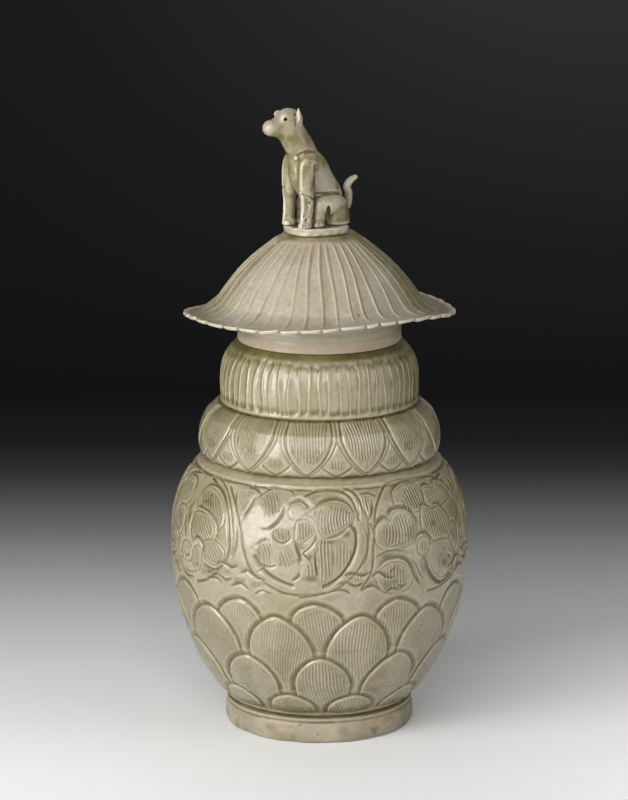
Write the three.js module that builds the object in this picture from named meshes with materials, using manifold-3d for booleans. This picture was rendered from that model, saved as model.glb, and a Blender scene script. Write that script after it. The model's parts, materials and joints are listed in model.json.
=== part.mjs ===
// Lidded jar of stoneware: a round belly on a foot ring, two stepped shoulder tiers, a short neck,
// and a hat-shaped lid whose finial is a seated dog. Millimetres, +Z up, origin on the ground under
// the foot, front towards -Y. Every clay piece that was made by itself is its own mesh.

import * as THREE from 'three';
import { mergeVertices } from 'three/addons/utils/BufferGeometryUtils.js';
import Module from 'manifold-3d';

const wasm = await Module();
wasm.setup();

// Gap at each luted seam between two clay pieces
const seam = 0.3;

// Neck and the lid's collar that drops over it
const neckBore = 40;
const neckWall = 4.4;
const neckHeight = 22;
const lidClearance = 0.8;
const collarWall = 4.6;

// Upper shoulder tier, fluted
const shoulderLedge = 0.3;
const upperTierSwell = 10;
const upperTierHeight = 37.6;
const upperTierWall = 6;
const fluteCount = 62;
const fluteDepth = 1;
const fluteStart = 3;
const fluteStop = 33.5;

// Lower shoulder tier
const upperTierSetback = 1.1;
const lowerTierSwell = 11.2;
const lowerTierHeight = 31.6;
const lowerTierWall = 6.3;

// Belly
const lowerTierOverhang = 3;
const bellySwell = 21.8;
const bellyHeight = 153.7;
const girthHeight = 100;
const bellyBaseRadius = 53.6;
const bellyWall = 5.5;
const bellyFloor = 7;

// Foot ring
const footHeight = 15.6;
const footFlare = 4.9;
const footWaist = 3;
const footWallWidth = 9.2;
const footEdge = 1.8;

// Lid canopy
const brimRadius = 82;
const brimLift = 19;
const brimThickness = 2.4;
const flareWidth = 19.6;
const flareRise = 6.5;
const domeRise = 40.2;
const domeWall = 4.6;
const ribCount = 40;
const ribHeight = 0.7;
const brimTilt = 4.1;
const brimTiltAngle = -58;
const saddleHeight = 1.6;
const saddleAngle = 79;
const lobeHeight = 2.3;
const lobeCount = 3;
const lobeAngle = -46;

// Finial plinth, a rounded square slab a little off the lid's axis
const finialShift = -1.6;
const plinthHalfWidth = 19.7;
const plinthHeight = 4.5;
const plinthCornerAngle = -119;
const plinthSquareness = 4;
const crownMargin = 2.2;

// Seated dog, in its own frame: x forward, y to its left, z up from the plinth
const dogHeading = 216.5;
const headTurn = -6;
const rumpReach = -10.4;
const rumpHeight = 7.6;
const rumpRadius = 8.2;
const backRadius = 10;
const chestReach = 4.6;
const chestHeight = 33.4;
const chestRadius = 10.8;
const throatRadius = 9;
const torsoFlatness = 0.84;
const forelegRadius = 4;
const forelegReach = 13.4;
const forelegStance = 7.6;
const shoulderRadius = 6;
const shoulderHeight = 37.6;
const shankRadius = 3.4;
const shankReach = 3.3;
const hindStance = 8.8;
const kneeHeight = 14.6;
const haunchRadius = 8.6;
const haunchReach = -10.6;
const haunchFlatness = 0.66;
const skullReach = 20.7;
const skullHeight = 63.4;
const skullRadius = 8.1;
const skullFlatness = 0.84;
const muzzleReach = 32.6;
const muzzleHeight = 60.8;
const muzzleRadius = 5.2;
const browRadius = 2.3;
const browSpread = 4.7;
const eyeRadius = 1.1;
const earHeight = 10.4;
const earWidth = 2.6;
const earThickness = 0.5;
const tailReach = -28.9;
const tailHeight = 25;
const tailRadius = 2.1;

// Radii and heights that follow from the sizes above
const neckRadius = neckBore + neckWall;
const collarBore = neckRadius + lidClearance;
const collarRadius = collarBore + collarWall;
const shoulderTopRadius = collarRadius + shoulderLedge;
const upperTierRadius = shoulderTopRadius + upperTierSwell;
const upperTierMouth = upperTierRadius - upperTierWall;
const lowerTierTopRadius = upperTierRadius + upperTierSetback;
const lowerTierRadius = lowerTierTopRadius + lowerTierSwell;
const bellyTopRadius = lowerTierRadius - lowerTierOverhang;
const bellyMouth = bellyTopRadius - bellyWall;
const bellyRadius = bellyTopRadius + bellySwell;
const footTopRadius = bellyBaseRadius + footWaist;
const footRadius = bellyBaseRadius + footFlare;
const footBore = footTopRadius - footWallWidth;
const crownRadius = plinthHalfWidth + crownMargin;

const bellyBottom = footHeight + seam;
const lowerTierBottom = bellyBottom + bellyHeight + seam;
const upperTierBottom = lowerTierBottom + lowerTierHeight + seam;
const lidSeat = upperTierBottom + upperTierHeight + seam;
const brimHeight = brimLift + lidSeat;
const crownHeight = brimHeight + flareRise + domeRise;
const plinthBottom = crownHeight + seam;
const dogGround = plinthBottom + plinthHeight + seam;

const turnedSides = 48;
const v2 = (r, z) => new THREE.Vector2(r, z);
const radians = THREE.MathUtils.degToRad;

// Colours of the fired clay and its glaze
function glaze(color, roughness) {
  return new THREE.MeshStandardMaterial({ color, roughness, metalness: 0 });
}
const oliveGlaze = glaze(0x8f8c6b, 0.3);
const greyGlaze = glaze(0xa39f86, 0.32);
const thinGlaze = glaze(0xb3a587, 0.45);

// Solids

function solidOf(geometry) {
  const bare = geometry.clone();
  bare.deleteAttribute('normal');
  bare.deleteAttribute('uv');
  const welded = mergeVertices(bare, 1e-4);
  return new wasm.Manifold(new wasm.Mesh({
    numProp: 3,
    vertProperties: welded.attributes.position.array,
    triVerts: new Uint32Array(welded.index.array),
  }));
}

function geometryOf(solid) {
  const mesh = solid.getMesh();
  const geometry = new THREE.BufferGeometry();
  geometry.setAttribute('position', new THREE.BufferAttribute(mesh.vertProperties, 3));
  geometry.setIndex(new THREE.BufferAttribute(mesh.triVerts, 1));
  geometry.computeVertexNormals();
  return geometry;
}

function largestPiece(solid) {
  return solid.decompose().sort((a, b) => b.volume() - a.volume())[0];
}

// A profile of radius and height, closed or ending on the axis, spun about +Z
function turned(profile, sides = turnedSides) {
  return new THREE.LatheGeometry(profile, sides).rotateX(Math.PI / 2);
}

// Moves each vertex of a turned piece: move gets its angle, radius and height and gives new ones
function reshaped(geometry, move) {
  const position = geometry.attributes.position;
  for (let i = 0; i < position.count; i += 1) {
    const angle = Math.atan2(position.getY(i), position.getX(i));
    const radius = Math.hypot(position.getX(i), position.getY(i));
    const [r, z] = move(angle, radius, position.getZ(i));
    position.setXYZ(i, r * Math.cos(angle), r * Math.sin(angle), z);
  }
  geometry.computeVertexNormals();
  return geometry;
}

// Points of a curve moved towards its left, the inner side of a wall that rises
function innerPoints(curve, steps, wallAt) {
  const points = [];
  for (let i = 0; i <= steps; i += 1) {
    const t = i / steps;
    const point = curve.getPoint(t);
    const along = curve.getTangent(t);
    const wall = wallAt(point.x);
    points.push(v2(point.x - along.y * wall, point.y + along.x * wall));
  }
  return points;
}

// Height of a falling profile at a radius
function heightAt(points, radius) {
  const last = points.findIndex((point) => point.x >= radius);
  const a = points[last - 1];
  const b = points[last];
  return THREE.MathUtils.mapLinear(radius, a.x, b.x, a.y, b.y);
}

// Foot ring

function footRing() {
  const outline = new THREE.CubicBezierCurve(
    v2(footRadius - footEdge, 0),
    v2(footRadius + 0.3, footEdge),
    v2(footRadius + 0.2, footHeight * 0.5),
    v2(footTopRadius, footHeight),
  );
  const bevel = footEdge * 0.6;
  const profile = [
    v2(footBore, footHeight),
    v2(footBore, bevel),
    v2(footBore + bevel, 0),
    ...outline.getPoints(4),
    v2(footBore, footHeight),
  ];
  return turned(profile);
}

// Belly: a full lower curve up to the girth, and a rounder one in to the shoulder

function belly() {
  const bottom = bellyBottom;
  const girth = bottom + girthHeight;
  const top = bottom + bellyHeight;
  const lowerCurve = new THREE.CubicBezierCurve(
    v2(bellyBaseRadius, bottom),
    v2(bellyBaseRadius + 0.45 * (bellyRadius - bellyBaseRadius), bottom + 0.12 * girthHeight),
    v2(bellyRadius, bottom + 0.485 * girthHeight),
    v2(bellyRadius, girth),
  );
  const upperCurve = new THREE.CubicBezierCurve(
    v2(bellyRadius, girth),
    v2(bellyRadius, girth + 0.54 * (top - girth)),
    v2(bellyTopRadius + 0.63 * bellySwell, top - 0.22 * (top - girth)),
    v2(bellyTopRadius, top),
  );
  const wallAt = () => bellyWall;
  const floor = bottom + bellyFloor;
  const inside = [
    ...innerPoints(lowerCurve, 6, wallAt),
    ...innerPoints(upperCurve, 5, wallAt).slice(1),
  ].filter((point) => point.y > floor + bellyWall && point.y < top - bellyWall);
  const profile = [
    v2(0, bottom),
    ...lowerCurve.getPoints(8),
    ...upperCurve.getPoints(6).slice(1),
    v2(bellyMouth, top),
    ...inside.reverse(),
    v2(bellyBaseRadius - bellyWall * 0.5, floor),
    v2(0, floor),
  ];
  return turned(profile);
}

// Lower tier: a rounded band that overhangs the belly and turns in to a flat top

function lowerTier() {
  const bottom = lowerTierBottom;
  const top = bottom + lowerTierHeight;
  const outline = new THREE.CubicBezierCurve(
    v2(lowerTierRadius, bottom),
    v2(lowerTierRadius + 0.46 * lowerTierSwell, bottom + 0.56 * lowerTierHeight),
    v2(lowerTierTopRadius + 0.6 * lowerTierSwell, top - 0.1 * lowerTierHeight),
    v2(lowerTierTopRadius, top),
  );
  const inside = innerPoints(outline, 4, () => lowerTierWall)
    .filter((point) => point.y > bottom + seam && point.y < top - lowerTierWall * 0.5
      && point.x > upperTierMouth);
  const profile = [
    v2(bellyMouth, bottom),
    ...outline.getPoints(8),
    v2(upperTierMouth, top),
    v2(upperTierMouth, top - lowerTierWall),
    ...inside.reverse(),
    v2(bellyMouth, bottom),
  ];
  return turned(profile);
}

// Upper tier: an upright band with vertical flutes, rounding in to the flat seat of the lid

function upperTier() {
  const bottom = upperTierBottom;
  const top = bottom + upperTierHeight;
  const outline = new THREE.CubicBezierCurve(
    v2(upperTierRadius, bottom),
    v2(upperTierRadius + 0.2 * upperTierSwell, bottom + 0.66 * upperTierHeight),
    v2(shoulderTopRadius + 0.88 * upperTierSwell, top - 0.23 * upperTierHeight),
    v2(shoulderTopRadius, top),
  );
  const inside = innerPoints(outline, 4, () => upperTierWall)
    .filter((point) => point.y > bottom + 1 && point.x > neckBore + 1);
  const profile = [
    v2(upperTierMouth, bottom),
    ...outline.getPoints(7),
    v2(neckBore, top),
    v2(neckBore, top - upperTierWall),
    ...inside.reverse(),
    v2(upperTierMouth, bottom),
  ];
  const flutes = (angle, radius, z) => {
    const height = z - bottom;
    const outside = radius > upperTierMouth + fluteDepth && height > fluteStart && height < fluteStop;
    const cut = outside ? fluteDepth * 0.5 * (1 - Math.cos(fluteCount * angle)) : 0;
    return [radius - cut, z];
  };
  return reshaped(turned(profile, fluteCount * 2), flutes);
}

// Neck: a plain ring, hidden by the collar when the lid is on

function neck() {
  const top = lidSeat + neckHeight;
  const lip = neckWall * 0.3;
  const profile = [
    v2(neckBore, lidSeat),
    v2(neckRadius, lidSeat),
    v2(neckRadius, top - lip),
    v2(neckRadius - lip, top),
    v2(neckBore + lip, top),
    v2(neckBore, top - lip),
    v2(neckBore, lidSeat),
  ];
  return turned(profile);
}

// Lid: the canopy's outer curve runs from the crown down the dome and out along the flare

const flareTop = v2(brimRadius - flareWidth, brimHeight + flareRise);
const domeCurve = new THREE.CubicBezierCurve(
  v2(crownRadius, crownHeight),
  v2(crownRadius + 0.535 * (flareTop.x - crownRadius), crownHeight - 0.4 * domeRise),
  v2(flareTop.x - 0.34 * (flareTop.x - crownRadius), flareTop.y + 0.478 * domeRise),
  flareTop,
);
const flareCurve = new THREE.CubicBezierCurve(
  flareTop,
  v2(flareTop.x + 0.26 * flareWidth, flareTop.y - 0.64 * flareRise),
  v2(brimRadius - 0.45 * flareWidth, brimHeight - 0.09 * flareRise),
  v2(brimRadius, brimHeight),
);

// The wall thins from the dome to the brim
function canopyWall(radius) {
  const outwards = THREE.MathUtils.smoothstep(radius, flareTop.x - 0.5 * flareWidth, brimRadius);
  return THREE.MathUtils.lerp(domeWall, brimThickness, outwards);
}

function canopyUnderside() {
  const below = (curve, steps) => innerPoints(curve, steps, (radius) => -canopyWall(radius));
  return [
    v2(0, crownHeight - domeWall),
    ...below(domeCurve, 5),
    ...below(flareCurve, 3).slice(1),
  ];
}

function canopy() {
  const underside = canopyUnderside();
  const rim = v2(brimRadius + brimThickness * 0.2, brimHeight - brimThickness * 0.5);
  const profile = [
    ...underside,
    rim,
    ...flareCurve.getPoints(3).reverse(),
    ...domeCurve.getPoints(6).reverse().slice(1),
    v2(0, crownHeight),
  ];
  const undersideAt = (radius) => heightAt([...underside, rim], Math.min(radius, rim.x));
  const ribsAndWarp = (angle, radius, z) => {
    const outwards = THREE.MathUtils.smoothstep(radius, flareTop.x - 0.2 * flareWidth, brimRadius);
    const tilt = brimTilt * Math.cos(angle - radians(brimTiltAngle));
    const saddle = saddleHeight * Math.cos(2 * (angle - radians(saddleAngle)));
    const lobes = lobeHeight * Math.cos(lobeCount * (angle - radians(lobeAngle)));
    const onTop = z > undersideAt(radius) + brimThickness * 0.8 && radius > crownRadius + 1;
    const rib = onTop ? ribHeight * 0.5 * (Math.cos(ribCount * angle) - 1) : 0;
    return [radius, z + (tilt + saddle + lobes) * outwards + rib];
  };
  return reshaped(turned(profile, ribCount * 2), ribsAndWarp);
}

// Collar: the ring under the canopy that rests on the shoulder around the neck

function collar() {
  const underside = canopyUnderside();
  const lip = collarWall * 0.2;
  const profile = [
    v2(collarBore, lidSeat + lip),
    v2(collarBore + lip, lidSeat),
    v2(collarRadius - lip, lidSeat),
    v2(collarRadius, lidSeat + lip),
    v2(collarRadius, heightAt(underside, collarRadius) - seam),
    v2(collarBore, heightAt(underside, collarBore) - seam),
    v2(collarBore, lidSeat + lip),
  ];
  return turned(profile, ribCount);
}

// Plinth: a flat slab pressed into a rounded square

function plinth() {
  const top = plinthBottom + plinthHeight;
  const edge = plinthHeight * 0.25;
  const profile = [
    v2(0, plinthBottom),
    v2(plinthHalfWidth - edge, plinthBottom),
    v2(plinthHalfWidth, plinthBottom + edge),
    v2(plinthHalfWidth, top - edge),
    v2(plinthHalfWidth - edge, top),
    v2(0, top),
  ];
  const square = (angle, radius, z) => {
    const turn = angle - radians(plinthCornerAngle) - Math.PI / 4;
    const x = Math.abs(Math.cos(turn)) ** plinthSquareness;
    const y = Math.abs(Math.sin(turn)) ** plinthSquareness;
    return [radius * (x + y) ** (-1 / plinthSquareness), z];
  };
  return reshaped(turned(profile, 32), square).translate(finialShift, 0, 0);
}

// A rounded limb through stations of [x, y, z, radius]. Its sections are ellipses, flat times as
// wide across the dog as they are deep, and grow makes the whole limb thicker.
function limb(stations, { sides = 12, rings = 6, flat = 1, grow = 0 } = {}) {
  const path = new THREE.CatmullRomCurve3(stations.map(([x, y, z]) => new THREE.Vector3(x, y, z)));
  const size = new THREE.SplineCurve(stations.map(([, , , r], i) => v2(i, r)));
  const across = new THREE.Vector3(0, 1, 0);
  const capRings = 2;
  const sections = [];
  for (let i = -capRings + 1; i < rings + capRings; i += 1) {
    const t = THREE.MathUtils.clamp(i / rings, 0, 1);
    const beyond = i < 0 ? i : Math.max(0, i - rings);
    const bend = (beyond / capRings) * (Math.PI / 2);
    sections.push({ t, shrink: Math.cos(bend), shift: Math.sin(bend) });
  }
  const positions = [];
  const place = ({ t, shrink, shift }, angle) => {
    const radius = size.getPoint(t).y + grow;
    const along = path.getTangent(t);
    const u = across.clone().addScaledVector(along, -across.dot(along)).normalize();
    const v = along.clone().cross(u);
    const point = path.getPoint(t).addScaledVector(along, shift * radius);
    point.addScaledVector(u, radius * shrink * flat * Math.cos(angle));
    point.addScaledVector(v, radius * shrink * Math.sin(angle));
    positions.push(point.x, point.y, point.z);
  };
  sections.forEach((section) => {
    for (let side = 0; side < sides; side += 1) place(section, (side / sides) * Math.PI * 2);
  });
  place({ t: 0, shrink: 0, shift: -1 }, 0);
  place({ t: 1, shrink: 0, shift: 1 }, 0);
  const index = [];
  const first = sections.length * sides;
  const last = first + 1;
  for (let side = 0; side < sides; side += 1) {
    const next = (side + 1) % sides;
    for (let ring = 0; ring < sections.length - 1; ring += 1) {
      const a = ring * sides;
      const b = a + sides;
      index.push(a + side, a + next, b + next, a + side, b + next, b + side);
    }
    const end = (sections.length - 1) * sides;
    index.push(first, next, side, last, end + side, end + next);
  }
  const geometry = new THREE.BufferGeometry();
  geometry.setAttribute('position', new THREE.Float32BufferAttribute(positions, 3));
  geometry.setIndex(index);
  return solidOf(geometry);
}

function ball(x, y, z, radius, { sides = 8, flat = 1 } = {}) {
  const sphere = new THREE.SphereGeometry(radius, sides, sides * 0.75);
  return solidOf(sphere.scale(1, flat, 1).translate(x, y, z));
}

// Cuts a limb off flat where it stands
function standing(solid) {
  const width = plinthHalfWidth * 6;
  const depth = haunchRadius * 2;
  return solid.subtract(solidOf(new THREE.BoxGeometry(width, width, depth).translate(0, 0, -depth / 2)));
}

// The dog's pieces. side is 1 for its left and -1 for its right.

const rump = v2(rumpReach, rumpHeight);
const chest = v2(chestReach, chestHeight);
const nape = v2(skullReach - 1.4, skullHeight - 2.6);

// A limb's station in the dog's middle plane, at shares of the reach and height between two points
function stationAt(from, to, reachShare, heightShare, radius) {
  const reach = THREE.MathUtils.lerp(from.x, to.x, reachShare);
  const height = THREE.MathUtils.lerp(from.y, to.y, heightShare);
  return [reach, 0, height, radius];
}

function torsoSolid(grow = 0) {
  const stations = [
    stationAt(rump, chest, 0, 0, rumpRadius),
    stationAt(rump, chest, 0.22, 0.33, backRadius),
    stationAt(rump, chest, 0.6, 0.67, backRadius),
    stationAt(rump, chest, 1, 1, chestRadius),
    stationAt(rump, chest, 1.2, 1.18, chestRadius * 0.77),
  ];
  return limb(stations, { sides: 14, rings: 6, flat: torsoFlatness, grow });
}

function forelegSolid(side, grow = 0) {
  const y = side * forelegStance;
  const stations = [
    [forelegReach - 1.4, y * 0.9, shoulderHeight, shoulderRadius],
    [forelegReach + 0.4, y, shoulderHeight * 0.68, forelegRadius],
    [forelegReach - 0.6, y, shoulderHeight * 0.4, forelegRadius],
    [forelegReach + 0.6, y, forelegRadius * 0.6, forelegRadius * 0.95],
  ];
  return limb(stations, { grow });
}

function hindlegSolid(side, grow = 0) {
  const y = side * hindStance;
  const shank = limb([
    [shankReach, y, kneeHeight, shankRadius],
    [shankReach + 0.4, y, kneeHeight * 0.5, shankRadius * 0.92],
    [shankReach + 0.4, y, shankRadius * 0.6, shankRadius],
  ], { sides: 10, rings: 4, grow });
  const thigh = limb([
    [shankReach - 0.2, y, kneeHeight, shankRadius * 1.2],
    [(shankReach + haunchReach) / 2, y, kneeHeight - 0.6, shankRadius * 1.4],
    [haunchReach, y * 0.8, haunchRadius - 0.6, haunchRadius],
  ], { flat: haunchFlatness, rings: 5, grow });
  return shank.add(thigh);
}

function headSolid(grow = 0) {
  const throat = limb([
    stationAt(chest, nape, 0.2, 0.09, throatRadius),
    stationAt(chest, nape, 0.5, 0.44, throatRadius),
    stationAt(chest, nape, 0.79, 0.72, throatRadius * 0.93),
    [nape.x, 0, nape.y, skullRadius * 0.9],
  ], { flat: 0.92, grow });
  const skull = ball(skullReach, 0, skullHeight, skullRadius + grow, { sides: 12, flat: skullFlatness });
  const muzzle = limb([
    [skullReach + 2, 0, muzzleHeight - 0.4, muzzleRadius],
    [(skullReach + muzzleReach) / 2 + 1, 0, muzzleHeight - 0.2, muzzleRadius * 0.94],
    [muzzleReach, 0, muzzleHeight, muzzleRadius],
  ], { rings: 4, grow });
  const jaw = limb([
    [skullReach - 1, 0, skullHeight - skullRadius - 1, muzzleRadius * 1.2],
    [skullReach + 4, 0, muzzleHeight - 3.2, muzzleRadius * 0.95],
    [muzzleReach - 3.5, 0, muzzleHeight - 1, muzzleRadius * 0.84],
  ], { rings: 4, grow });
  const browReach = skullReach + skullRadius * 0.68;
  const browHeight = skullHeight + skullRadius * 0.55;
  const brows = [1, -1].map((side) => ball(browReach, side * browSpread, browHeight, browRadius));
  return [skull, muzzle, jaw, ...brows].reduce((sum, part) => sum.add(part), throat);
}

function eyeSocket(side) {
  return ball(skullReach + skullRadius * 0.68, side * (browSpread + 1.2), skullHeight + 2.4, eyeRadius);
}

// An ear is a pointed leaf that stands up from the side of the skull
function earSolid(side) {
  const ear = limb([
    [0, 0, 0, earWidth * 0.7],
    [-0.3, 0, earHeight * 0.4, earWidth],
    [0.2, 0, earHeight * 0.86, earWidth * 0.35],
  ], { sides: 8, rings: 4, flat: earThickness });
  const [x, y, z] = [skullReach - 3.4, side * (skullRadius * skullFlatness - 0.4), skullHeight - 2];
  return ear.translate([x, y, z]);
}

function tailSolid() {
  const root = v2(rumpReach - rumpRadius * 0.85, rumpHeight * 0.74);
  const tip = v2(tailReach, tailHeight);
  return limb([
    stationAt(root, tip, 0, 0, tailRadius),
    stationAt(root, tip, 0.54, 0.17, tailRadius),
    stationAt(root, tip, 0.59, 0.52, tailRadius * 0.9),
    stationAt(root, tip, 0.44, 0.78, tailRadius),
    stationAt(root, tip, 0.71, 0.94, tailRadius * 0.95),
    stationAt(root, tip, 1, 1, tailRadius * 0.7),
  ], { sides: 8, rings: 8 });
}

// Turns the head about the neck, keeping the gaps between its own pieces
function turnHead(solid) {
  const pivot = (chestReach + skullReach) / 2;
  return solid.translate([-pivot, 0, 0]).rotate([0, 0, headTurn]).translate([pivot, 0, 0]);
}

function dogPieces() {
  const sides = { left: 1, right: -1 };
  const pieces = {};
  const head = turnHead(headSolid());
  let torso = torsoSolid();
  let shoulders = torsoSolid(seam);
  let hips = torsoSolid(seam);
  Object.entries(sides).forEach(([name, side]) => {
    pieces[`dog_foreleg_${name}`] = standing(forelegSolid(side));
    torso = torso.subtract(forelegSolid(side, seam));
    shoulders = shoulders.add(forelegSolid(side, seam));
  });
  torso = largestPiece(standing(torso));
  Object.entries(sides).forEach(([name, side]) => {
    const hindleg = standing(hindlegSolid(side).subtract(torsoSolid(seam)));
    pieces[`dog_hindleg_${name}`] = largestPiece(hindleg);
    hips = hips.add(hindlegSolid(side, seam));
  });
  let headPiece = head.subtract(shoulders);
  Object.entries(sides).forEach(([name, side]) => {
    const ear = turnHead(earSolid(side));
    pieces[`dog_ear_${name}`] = largestPiece(ear.subtract(turnHead(headSolid(seam))));
    headPiece = headPiece.subtract(turnHead(eyeSocket(side)));
  });
  pieces.dog_torso = torso;
  pieces.dog_neck_and_head = largestPiece(headPiece);
  pieces.dog_tail = largestPiece(tailSolid().subtract(hips));
  return pieces;
}

// Assembly

function clayPiece(name, geometry, material) {
  const mesh = new THREE.Mesh(geometry, material);
  mesh.name = name;
  return mesh;
}

const jar = new THREE.Group();
jar.add(
  clayPiece('foot_ring', footRing(), thinGlaze),
  clayPiece('belly', belly(), oliveGlaze),
  clayPiece('lower_shoulder_tier', lowerTier(), oliveGlaze),
  clayPiece('upper_shoulder_tier', upperTier(), oliveGlaze),
  clayPiece('mouth_neck', neck(), thinGlaze),
);

const dog = new THREE.Group();
dog.position.set(finialShift, 0, dogGround);
dog.rotation.z = radians(dogHeading);
Object.entries(dogPieces()).forEach(([name, solid]) => {
  dog.add(clayPiece(name, geometryOf(solid), greyGlaze));
});

const lid = new THREE.Group();
lid.add(
  clayPiece('lid_collar', collar(), thinGlaze),
  clayPiece('lid_canopy', canopy(), greyGlaze),
  clayPiece('finial_plinth', plinth(), greyGlaze),
  dog,
);

const liddedJar = new THREE.Group();
liddedJar.add(jar, lid);

export default liddedJar;
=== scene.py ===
"""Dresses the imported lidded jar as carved, glazed stoneware. Outlines are in millimetres, angles are in
degrees from the front (-Y), positive to the right, and every mesh is made in metres in the row frame."""

import json
import math

import bpy
import numpy as np
from mathutils import Euler, Matrix, Vector

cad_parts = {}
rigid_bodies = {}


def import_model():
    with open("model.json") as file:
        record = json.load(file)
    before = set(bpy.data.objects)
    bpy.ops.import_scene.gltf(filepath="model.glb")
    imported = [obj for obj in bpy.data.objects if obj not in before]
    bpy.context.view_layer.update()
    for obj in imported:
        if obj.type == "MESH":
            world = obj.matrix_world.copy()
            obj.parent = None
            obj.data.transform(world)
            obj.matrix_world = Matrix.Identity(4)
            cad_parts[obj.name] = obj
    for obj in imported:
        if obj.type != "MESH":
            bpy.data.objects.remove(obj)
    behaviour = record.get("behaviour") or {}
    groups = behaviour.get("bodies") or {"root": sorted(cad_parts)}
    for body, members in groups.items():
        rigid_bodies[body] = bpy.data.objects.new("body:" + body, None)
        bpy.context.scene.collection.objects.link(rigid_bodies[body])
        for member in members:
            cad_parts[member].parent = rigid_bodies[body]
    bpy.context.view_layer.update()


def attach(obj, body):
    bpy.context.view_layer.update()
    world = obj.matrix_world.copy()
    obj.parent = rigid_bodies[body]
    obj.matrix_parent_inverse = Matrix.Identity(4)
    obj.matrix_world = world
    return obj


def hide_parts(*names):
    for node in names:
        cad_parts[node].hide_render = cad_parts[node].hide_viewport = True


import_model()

MM = 0.001
COMB_PITCH = 1.9


# Curves and distances


def bezier(start, leave, arrive, end, steps=160):
    t = np.linspace(0, 1, steps)[:, None]
    p = [np.array(q, float) for q in (start, leave, arrive, end)]
    return (1 - t) ** 3 * p[0] + 3 * (1 - t) ** 2 * t * p[1] + 3 * (1 - t) * t**2 * p[2] + t**3 * p[3]


def swept(start, end, leave, arrive):
    """A curve between two points of radius and height. Its handles are shares of the step between the
    points: leave is measured on from the start, and arrive back from the end."""
    start, step = np.array(start, float), np.subtract(end, start)
    return bezier(start, start + leave * step, end - arrive * step, end)


def lengths(points):
    steps = np.hypot(*np.diff(points, axis=0).T)
    return np.concatenate([[0], np.cumsum(steps)])


def evenly(points, spacing):
    """The same line with points at even steps."""
    along = lengths(points)
    count = max(2, int(round(along[-1] / spacing)) + 1)
    at = np.linspace(0, along[-1], count)
    return np.column_stack([np.interp(at, along, points[:, i]) for i in (0, 1)])


def normals(line):
    """Unit vectors to the right of the way a line runs, one for each of its points."""
    along = np.gradient(line, axis=0)
    along /= np.hypot(*along.T)[:, None]
    return np.column_stack([along[:, 1], -along[:, 0]])


def round_angles(count):
    return np.linspace(-math.pi, math.pi, count, endpoint=False)


def smooth_line(points, closed=False, per_span=6):
    """A rounded line through a few points, or through stations that also have a radius."""
    p = np.array(points, float)
    if closed:
        p = np.vstack([p[-1], p, p[0], p[1]])
    else:
        p = np.vstack([2 * p[0] - p[1], p, 2 * p[-1] - p[-2]])
    t = np.linspace(0, 1, per_span, endpoint=False)[:, None]
    spans = []
    for a, b, c, d in zip(p, p[1:], p[2:], p[3:]):
        spans.append(0.5 * (2 * b + (c - a) * t + (2 * a - 5 * b + 4 * c - d) * t**2
                            + (3 * b - a - 3 * c + d) * t**3))
    return np.vstack([*spans, p[-2]])


def mirrored(line, flip):
    return np.array(line, float) * ([-1, 1] if flip else 1)


def smoothstep(low, high, x):
    t = np.clip((x - low) / (high - low), 0, 1)
    return t * t * (3 - 2 * t)


def bell(x, width):
    """1 at 0, falling away on both sides."""
    return np.exp(-((x / width) ** 2))


def mix(a, b, share):
    return a + (b - a) * share


def measure(x, y, line):
    """Distance to a line, the side it is on (1 is left of the way it runs) and the share of its length."""
    best = np.full(x.shape, 1e9)
    side = np.zeros(x.shape)
    along = np.zeros(x.shape)
    so_far = lengths(line)
    for i in range(len(line) - 1):
        (ax, ay), (bx, by) = line[i], line[i + 1]
        dx, dy = bx - ax, by - ay
        span = max(dx * dx + dy * dy, 1e-12)
        t = np.clip(((x - ax) * dx + (y - ay) * dy) / span, 0, 1)
        distance = np.hypot(x - ax - t * dx, y - ay - t * dy)
        nearer = distance < best
        best = np.where(nearer, distance, best)
        side = np.where(nearer, np.sign(dx * (y - ay) - dy * (x - ax)), side)
        along = np.where(nearer, (so_far[i] + t * math.sqrt(span)) / so_far[-1], along)
    return best, side, along


def inside(x, y, line):
    crossed = np.zeros(x.shape, bool)
    for (ax, ay), (bx, by) in zip(line, line[1:]):
        if ay == by:
            continue
        between = (ay > y) != (by > y)
        crossed ^= between & (x < ax + (y - ay) * (bx - ax) / (by - ay))
    return crossed


def wander(a, b, seed, waves=7):
    """A soft random field from about -1 to 1. It closes round the jar along a, an angle in radians, and
    b is a place on the other axis, scaled so that 2 is about one wave."""
    rng = np.random.default_rng(seed)
    total = np.zeros(np.broadcast(a, b).shape)
    for _ in range(waves):
        turns = rng.integers(1, 9)
        total += np.sin(turns * a + rng.uniform(-3, 3) * b + rng.uniform(0, 6.28)) * rng.uniform(0.5, 1)
    return total / (waves * 0.55)


# Turned clay with carving


# What the glaze reads at every point: how thick it has run, with painted shade added in, edges where it is
# thin, with a painted highlight added on the collar, the place across comb lines and how strong they are, and
# bare and orange clay
BAND_GRIDS = ("pool", "edge", "comb", "comb_mask")
GRIDS = (*BAND_GRIDS, "bare", "orange")


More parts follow.
